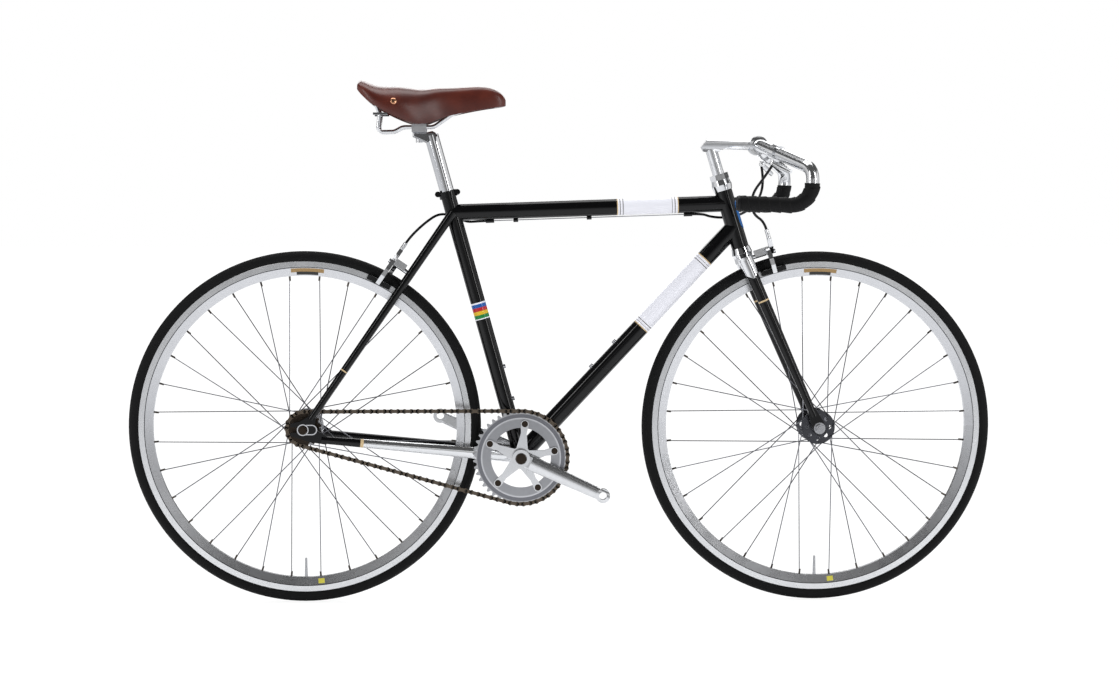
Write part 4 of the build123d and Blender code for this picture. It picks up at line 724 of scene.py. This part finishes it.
for way in (-1, 1):
    reach = add(link_tree, "ShaderNodeMath", {0: half_gap.outputs[0], 1: way}, operation="MULTIPLY")
    shift = add(link_tree, "ShaderNodeCombineXYZ", {"Y": reach.outputs[0]})
    moved = add(link_tree, "GeometryNodeTransform", {0: plate.outputs[0], "Translation": shift.outputs[0]})
    link_tree.links.new(moved.outputs[0], pair.inputs[0])
aim = add(link_tree, "GeometryNodeInputNamedAttribute", {"Name": "along"}, data_type="FLOAT_VECTOR")
lie = add(link_tree, "FunctionNodeAlignRotationToVector", {"Vector": aim.outputs[0]}, axis="X", pivot_axis="Y")
links = add(
    link_tree, "GeometryNodeInstanceOnPoints",
    {"Points": given.outputs["Geometry"], "Instance": pair.outputs[0], "Rotation": lie.outputs[0]},
)
chain_steel = bright("oiled_chain_steel", "#6b6156", 0.28, 0.48, 3)
close_tree(link_tree, links.outputs[0], chain_steel)

ring_r = PITCH / (2 * math.sin(math.pi / RING_TEETH))
cog_r = PITCH / (2 * math.sin(math.pi / COG_TEETH))
gap = crank_axle - rear_axle
slope = math.atan2(gap.z, gap.x)
lean_angle = math.asin((ring_r - cog_r) / gap.length)
free_run = gap.length * math.cos(lean_angle)
ring_arc = ring_r * (math.pi + 2 * lean_angle)
cog_arc = cog_r * (math.pi - 2 * lean_angle)
loop_length = 2 * free_run + ring_arc + cog_arc


def round_point(centre, r, a):
    """Point of the chain's line on a wheel."""
    return Vector((centre.x + r * math.cos(a), CHAIN_Y, centre.z + r * math.sin(a)))


def on_loop(s):
    """Point on the chain's line, s along it from where the top run leaves the sprocket."""
    s = s % loop_length
    top = slope + lean_angle + math.pi / 2
    low = slope - lean_angle - math.pi / 2
    if s < free_run:
        return round_point(rear_axle, cog_r, top).lerp(round_point(crank_axle, ring_r, top), s / free_run)
    s -= free_run
    if s < ring_arc:
        return round_point(crank_axle, ring_r, top - s / ring_r)
    s -= ring_arc
    if s < free_run:
        return round_point(crank_axle, ring_r, low).lerp(round_point(rear_axle, cog_r, low), s / free_run)
    return round_point(rear_axle, cog_r, low - (s - free_run) / cog_r)


pins = [on_loop(k * loop_length / LINKS) for k in range(LINKS)]
for kind, first, room in (("wide", 0, WIDE_GAP), ("narrow", 1, NARROW_GAP)):
    ends = [(pins[k], pins[(k + 1) % LINKS]) for k in range(first, LINKS, 2)]
    middles = [(a + b) / 2 for a, b in ends]
    aims = [b - a for a, b in ends]
    link_size = {"Pitch": PITCH, "Plate radius": PLATE_R, "Waist": WAIST, "Plate thickness": PLATE_T, "Gap": room}
    piece = grown("chain_" + kind + "_links", middles, aims, link_tree, link_ids, link_size)
    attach(piece, "frame")
    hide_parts("chain")
# The pins grow on the nipples' tree, which gives them the nipples' brass at first.
pin_size = {"Radius": PIN_R, "Length": PIN_LEN}
pin_aims = [Vector((0, 1, 0))] * LINKS
chain_pins = grown("chain_pins", pins, pin_aims, nipple_tree, nipple_ids, pin_size)
chain_pins.data.materials[0] = chain_steel
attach(chain_pins, "frame")

# Saddle
# Thick vegetable-tanned leather, wet-moulded over a form and stretched on the wires. Burnishing leaves it glossy and
# clouded in colour. Its colour also carries painted shade, darker towards the skirt's edge, and painted light,
# lighter on top, set by height alone.
LEATHER = ("#431207", "#581d0c")
SKIRT_LOW, SKIRT_HIGH = 905, 975
leather, tree, shader = finish("burnished_brown_leather")
where = add(tree, "ShaderNodeTexCoord").outputs["Object"]
cloud = add(tree, "ShaderNodeTexNoise", {"Vector": where, "Scale": 1 / (35 * MM), "Detail": 6.0})
hide = add(tree, "ShaderNodeValToRGB", {"Fac": cloud.outputs["Fac"]})
hide.color_ramp.elements[0].position = 0.3
hide.color_ramp.elements[0].color = linear(LEATHER[0])
hide.color_ramp.elements[1].position = 0.7
hide.color_ramp.elements[1].color = linear(LEATHER[1])
xyz = add(tree, "ShaderNodeSeparateXYZ", {0: where})
# Painted shade and light by height: the hide's colour is scaled down to 0.72 at the skirt and up to 1.1 on top.
height_light_and_shade = add(tree, "ShaderNodeMapRange", {
    "Value": xyz.outputs["Z"], "From Min": spot(0, 0, SKIRT_LOW).z, "From Max": spot(0, 0, SKIRT_HIGH).z,
    "To Min": 0.72, "To Max": 1.1,
})
height_shaded_hide = add(tree, "ShaderNodeVectorMath", {0: hide.outputs["Color"], "Scale": height_light_and_shade.outputs[0]}, operation="SCALE")
tree.links.new(height_shaded_hide.outputs[0], shader.inputs["Base Color"])
sheen = add(tree, "ShaderNodeMapRange", {"Value": cloud.outputs["Fac"], "To Min": 0.3, "To Max": 0.4})
tree.links.new(sheen.outputs[0], shader.inputs["Roughness"])
# The grain's cells are about 1 mm and drawn at 2 mm.
grain = add(tree, "ShaderNodeTexVoronoi", {"Vector": where, "Scale": 1 / (2 * MM)})
bump = add(tree, "ShaderNodeBump", {"Height": grain.outputs["Distance"], "Strength": 0.07, "Distance": 0.2 * MM})
tree.links.new(bump.outputs[0], shader.inputs["Normal"])
dress(leather, "saddle_top")

# Rivets and bolts
# Copper rivets with hammered domes hold the leather to the cantle. Plated steel button heads with a
# socket close the four bottle bosses.
HEAD_SIDES = 20
RIVET = ((6.6, -1.5), (6.6, 0.5), (5.9, 1.4), (4.2, 2.3), (2.0, 2.8), (0.5, 2.9))
BUTTON_HEAD = ((4.8, -0.5), (4.8, 1.0), (4.1, 2.2), (2.6, 2.8), (2.4, 2.8), (2.1, 1.2))
BOSS_SPACING = 64 * MM
RIVET_X, RIVET_Z = 172.8, 953.1
BESIDE = 300


def heads(name, seats, profile, material, body):
    """Turned heads from (radius, height) points in millimetres, one on each seat (place, direction)."""
    points, faces = [], []
    for place, aim in seats:
        first = len(points)
        turn = aim.to_track_quat("Z", "Y").to_matrix()
        for r, h in profile:
            angles = [2 * math.pi * j / HEAD_SIDES for j in range(HEAD_SIDES)]
            points += [place + turn @ Vector((r * math.cos(a), r * math.sin(a), h)) * MM for a in angles]
        faces += [tuple(first + n for n in face) for face in tube_faces(len(profile), HEAD_SIDES, False)]
        faces += [tuple(range(first, first + HEAD_SIDES)), tuple(range(len(points) - HEAD_SIDES, len(points)))]
    piece = mesh_piece(name, points, faces, material)
    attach(piece, body)


copper = bright("copper_rivet", "#d29a78", 0.2, 0.3, 4)
rivet_seats = []
for side in (-1, 1):
    beside = spot(RIVET_X, side * BESIDE, RIVET_Z)
    met, place, normal, _ = frame["nodes"]["saddle_top"].ray_cast(beside, Vector((0, -side, 0)))
    if met:
        rivet_seats.append((place, normal))
heads("saddle_rivets", rivet_seats, RIVET, copper, "frame")
bolt_seats = []
for mount in frame["record"]["mounts"]:
    if mount["kind"] == "bolt_pattern":
        axis = Vector(mount["axis"])
        along = axis.cross(Vector((0, 1, 0)))
        bolt_seats += [(Vector(mount["pos_m"]) + along * (way * BOSS_SPACING / 2), axis) for way in (-1, 1)]
heads("bottle_boss_bolts", bolt_seats, BUTTON_HEAD, steel, "frame")

# Brake pads and bar plugs
# Pads of moulded black rubber, which is dull and finely pitted, and plugs of moulded plastic, pushed
# into the bar's ends.
GRAIN_SHADE = 0.7


def plain_stuff(name, colour, low, high, grain_mm):
    """Rubber, plastic or cork of one colour, its roughness wandering between two values."""
    material, tree, shader = finish(name)
    where = add(tree, "ShaderNodeTexCoord").outputs["Object"]
    grain = add(tree, "ShaderNodeTexNoise", {"Vector": where, "Scale": 1 / (grain_mm * MM), "Detail": 5.0})
    shade = add(tree, "ShaderNodeValToRGB", {"Fac": grain.outputs["Fac"]})
    shader.inputs["Specular IOR Level"].default_value = 0.2
    shade.color_ramp.elements[0].color = [c * GRAIN_SHADE for c in linear(colour)[:3]] + [1]
    shade.color_ramp.elements[1].color = linear(colour)
    tree.links.new(shade.outputs["Color"], shader.inputs["Base Color"])
    rough = add(tree, "ShaderNodeMapRange", {"Value": grain.outputs["Fac"], "To Min": low, "To Max": high})
    tree.links.new(rough.outputs[0], shader.inputs["Roughness"])
    bump = add(tree, "ShaderNodeBump", {"Height": grain.outputs["Fac"], "Strength": 0.2, "Distance": 0.2 * MM})
    tree.links.new(bump.outputs[0], shader.inputs["Normal"])
    return material


dress(plain_stuff("moulded_pad_rubber", "#1d1d1e", 0.55, 0.75, 3), "front_brake_pads", "rear_brake_pads")
dress(plain_stuff("black_plug_plastic", "#141416", 0.3, 0.45, 6), "bar_plugs")

# Head badge
# A bare plate in blue enamel, pressed to the curve of the head tube and glued to its front. It narrows
# to its ends.
HEAD_R = 16.5 * MM
BADGE_LOW, BADGE_HIGH = 712, 764
BADGE_HALF_ANGLE = math.radians(46)
BADGE_ROWS = 16
BADGE_COLUMNS = 14
BADGE_END_SHARE = 0.45
BADGE_FACE = 0.7 * MM
BADGE_BACK = 0.05 * MM
steer = next(j for j in frame["joints"] if j["name"] == "steering")
steer_axis = Vector(steer["axis"]).normalized()
steer_axis *= math.copysign(1, steer_axis.z)
steer_front = Vector((0, 1, 0)).cross(steer_axis)
points = []
for k in range(BADGE_ROWS):
    v = 2 * k / (BADGE_ROWS - 1) - 1
    height = spot(0, 0, BADGE_LOW + (BADGE_HIGH - BADGE_LOW) * (v + 1) / 2).z
    centre = joint_at["steering"] + steer_axis * ((height - joint_at["steering"].z) / steer_axis.z)
    half = BADGE_HALF_ANGLE * (BADGE_END_SHARE + (1 - BADGE_END_SHARE) * math.sqrt(1 - v ** 4))
    angles = [half * (2 * j / (BADGE_COLUMNS - 1) - 1) for j in range(BADGE_COLUMNS)]
    for r, row in ((HEAD_R + BADGE_FACE, angles), (HEAD_R + BADGE_BACK, angles[::-1])):
        points += [centre + (steer_front * math.cos(a) + Vector((0, 1, 0)) * math.sin(a)) * r for a in row]
ring_count = 2 * BADGE_COLUMNS
faces = tube_faces(BADGE_ROWS, ring_count, False)
faces += [tuple(range(ring_count)), tuple(range(len(points) - ring_count, len(points)))]
badge = mesh_piece("head_badge", points, faces, plain_stuff("blue_badge_enamel", "#2f6fb6", 0.18, 0.3, 12))
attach(badge, "frame")

# Bar tape
# Soft black cork tape, dull and finely pitted. It is wound from each end of the bar round the drop, each
# turn lying over the one before.
TAPE_R = 15.0 * MM
TAPE_LIP = 1.6 * MM
TAPE_TURN = 19.0 * MM
TAPE_STEP = 1.0 * MM
TAPE_AROUND = 28
DROP_BEND = 40.0 * MM
# Where the tape ends above the bend, where the drop's two straight runs meet, and the bar's end.
TAPE_LINE = ((942.85, 190, 800), (941, 190, 758), (808, 195, 763))
cork_tape = plain_stuff("black_cork_tape", "#09090a", 0.55, 0.75, 2)


def bent_line(start, corner, end, bend, step):
    """Places and directions along two straight runs with a round bend between them."""
    u = (start - corner).normalized()
    v = (end - corner).normalized()
    half = u.angle(v) / 2
    cut = bend / math.tan(half)
    middle = corner + (u + v).normalized() * (bend / math.sin(half))
    leave, meet = corner + u * cut, corner + v * cut
    arc = bend * (math.pi - 2 * half)
    before, after = (leave - start).length, (end - meet).length
    axis = (leave - middle).cross(meet - middle).normalized()
    stations = []
    count = round((before + arc + after) / step)
    for k in range(count + 1):
        s = (before + arc + after) * k / count
        if s < before:
            stations.append((start - u * s, -u))
        elif s < before + arc:
            bent = Matrix.Rotation((s - before) / bend, 3, axis)
            stations.append((middle + bent @ (leave - middle), bent @ -u))
        else:
            stations.append((meet + v * (s - before - arc), v))
    return stations, axis


points, faces = [], []
for side in (-1, 1):
    start, corner, end = (spot(x, side * y, z) for x, y, z in TAPE_LINE)
    stations, flat = bent_line(start, corner, end, DROP_BEND, TAPE_STEP)
    first = len(points)
    for k, (place, run) in enumerate(stations):
        out = run.cross(flat)
        for j in range(TAPE_AROUND):
            a = 2 * math.pi * j / TAPE_AROUND
            turn = (k * TAPE_STEP / TAPE_TURN + side * j / TAPE_AROUND) % 1
            points.append(place + (flat * math.cos(a) + out * math.sin(a)) * (TAPE_R - TAPE_LIP * turn))
    faces += [tuple(first + n for n in face) for face in tube_faces(len(stations), TAPE_AROUND, False)]
    faces += [tuple(range(first, first + TAPE_AROUND)), tuple(range(len(points) - TAPE_AROUND, len(points)))]
tape = mesh_piece("wound_bar_tape", points, faces, cork_tape)
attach(tape, "fork")
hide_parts("bar_tape")

# Brake cables
# Lined housing in black plastic: one from the right lever down to the front brake, and one from the
# left lever to the rear brake, which stops at the top tube's ends, where the bare wire runs between.
CABLE_D = 5 * MM
FRONT_LENGTH = 0.155
TAIL_LENGTH = 0.184
FRONT_ROUTE = (
    (883.1, -81.9, 835.2), (868.5, -74, 811.5), (850.5, -56, 785.5), (848.5, -40, 761.5), (855.5, -28, 741.5),
    (875.0, -24, 729.0), (879.7, -24, 713.7),
)
LOOP_ROUTE = (
    (883.1, 81.9, 835.2), (886.5, 76, 809.5), (878.5, 58, 776.5), (856.5, 44, 752.5), (832.0, 33, 739.8),
    (802.0, 24, 735.8), (776.0, 12, 737.8), (759.9, 0, 743.5), (740.0, 0, 742.8),
)
TAIL_ROUTE = (
    (345.1, 0, 729.3), (331.1, 0, 728.8), (308.1, 20, 727.0), (284.1, 29, 739.0), (256.1, 30, 744.0),
    (230.1, 28, 727.0), (201.3, 24, 700.0), (192.2, 24, 686.8),
)
housing_plastic = plain_stuff("black_housing_plastic", "#0d0d0f", 0.22, 0.35, 6)


def shown_mesh(piece):
    """Mesh of a piece as it stands."""
    bpy.context.view_layer.update()
    return bpy.data.meshes.new_from_object(piece.evaluated_get(bpy.context.evaluated_depsgraph_get()))


def housing_line(node, route):
    """Smooth line along a route, as thick as the housing."""
    curve = bpy.data.curves.new(node + "_housing", "CURVE")
    curve.dimensions = "3D"
    curve.bevel_depth = CABLE_D / 2
    curve.bevel_resolution = 3
    curve.resolution_u = 10
    curve.use_fill_caps = True
    line = curve.splines.new("NURBS")
    line.points.add(len(route) - 1)
    for point, place in zip(line.points, route):
        point.co = (*spot(*place), 1.0)
    line.order_u = 3
    line.use_endpoint_u = True
    curve.materials.append(housing_plastic)
    piece = bpy.data.objects.new(node + "_housing", curve)
    scene.collection.objects.link(piece)
    return piece


def cable(node):
    """Hide a housing's CAD node, in whose place the new housing stands."""
    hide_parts(node)


for node, route, length, body in (
    ("front_cable", FRONT_ROUTE, FRONT_LENGTH, "fork"), ("rear_cable_tail", TAIL_ROUTE, TAIL_LENGTH, "frame"),
):
    piece = housing_line(node, route)
    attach(piece, body)
    cable(node)

# The loop bends as the bar turns. Here it is one mesh, baked from a smooth line.
line = housing_line("loop_line", LOOP_ROUTE)
loop_mesh = shown_mesh(line)
line.data.bevel_depth = 0
loop_path = [v.co.copy() for v in shown_mesh(line).vertices]
bpy.data.objects.remove(line)
for face in loop_mesh.polygons:
    face.use_smooth = True
loop = bpy.data.objects.new("rear_cable_loop_housing", loop_mesh)
scene.collection.objects.link(loop)
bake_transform(loop)
cable("rear_cable_loop")
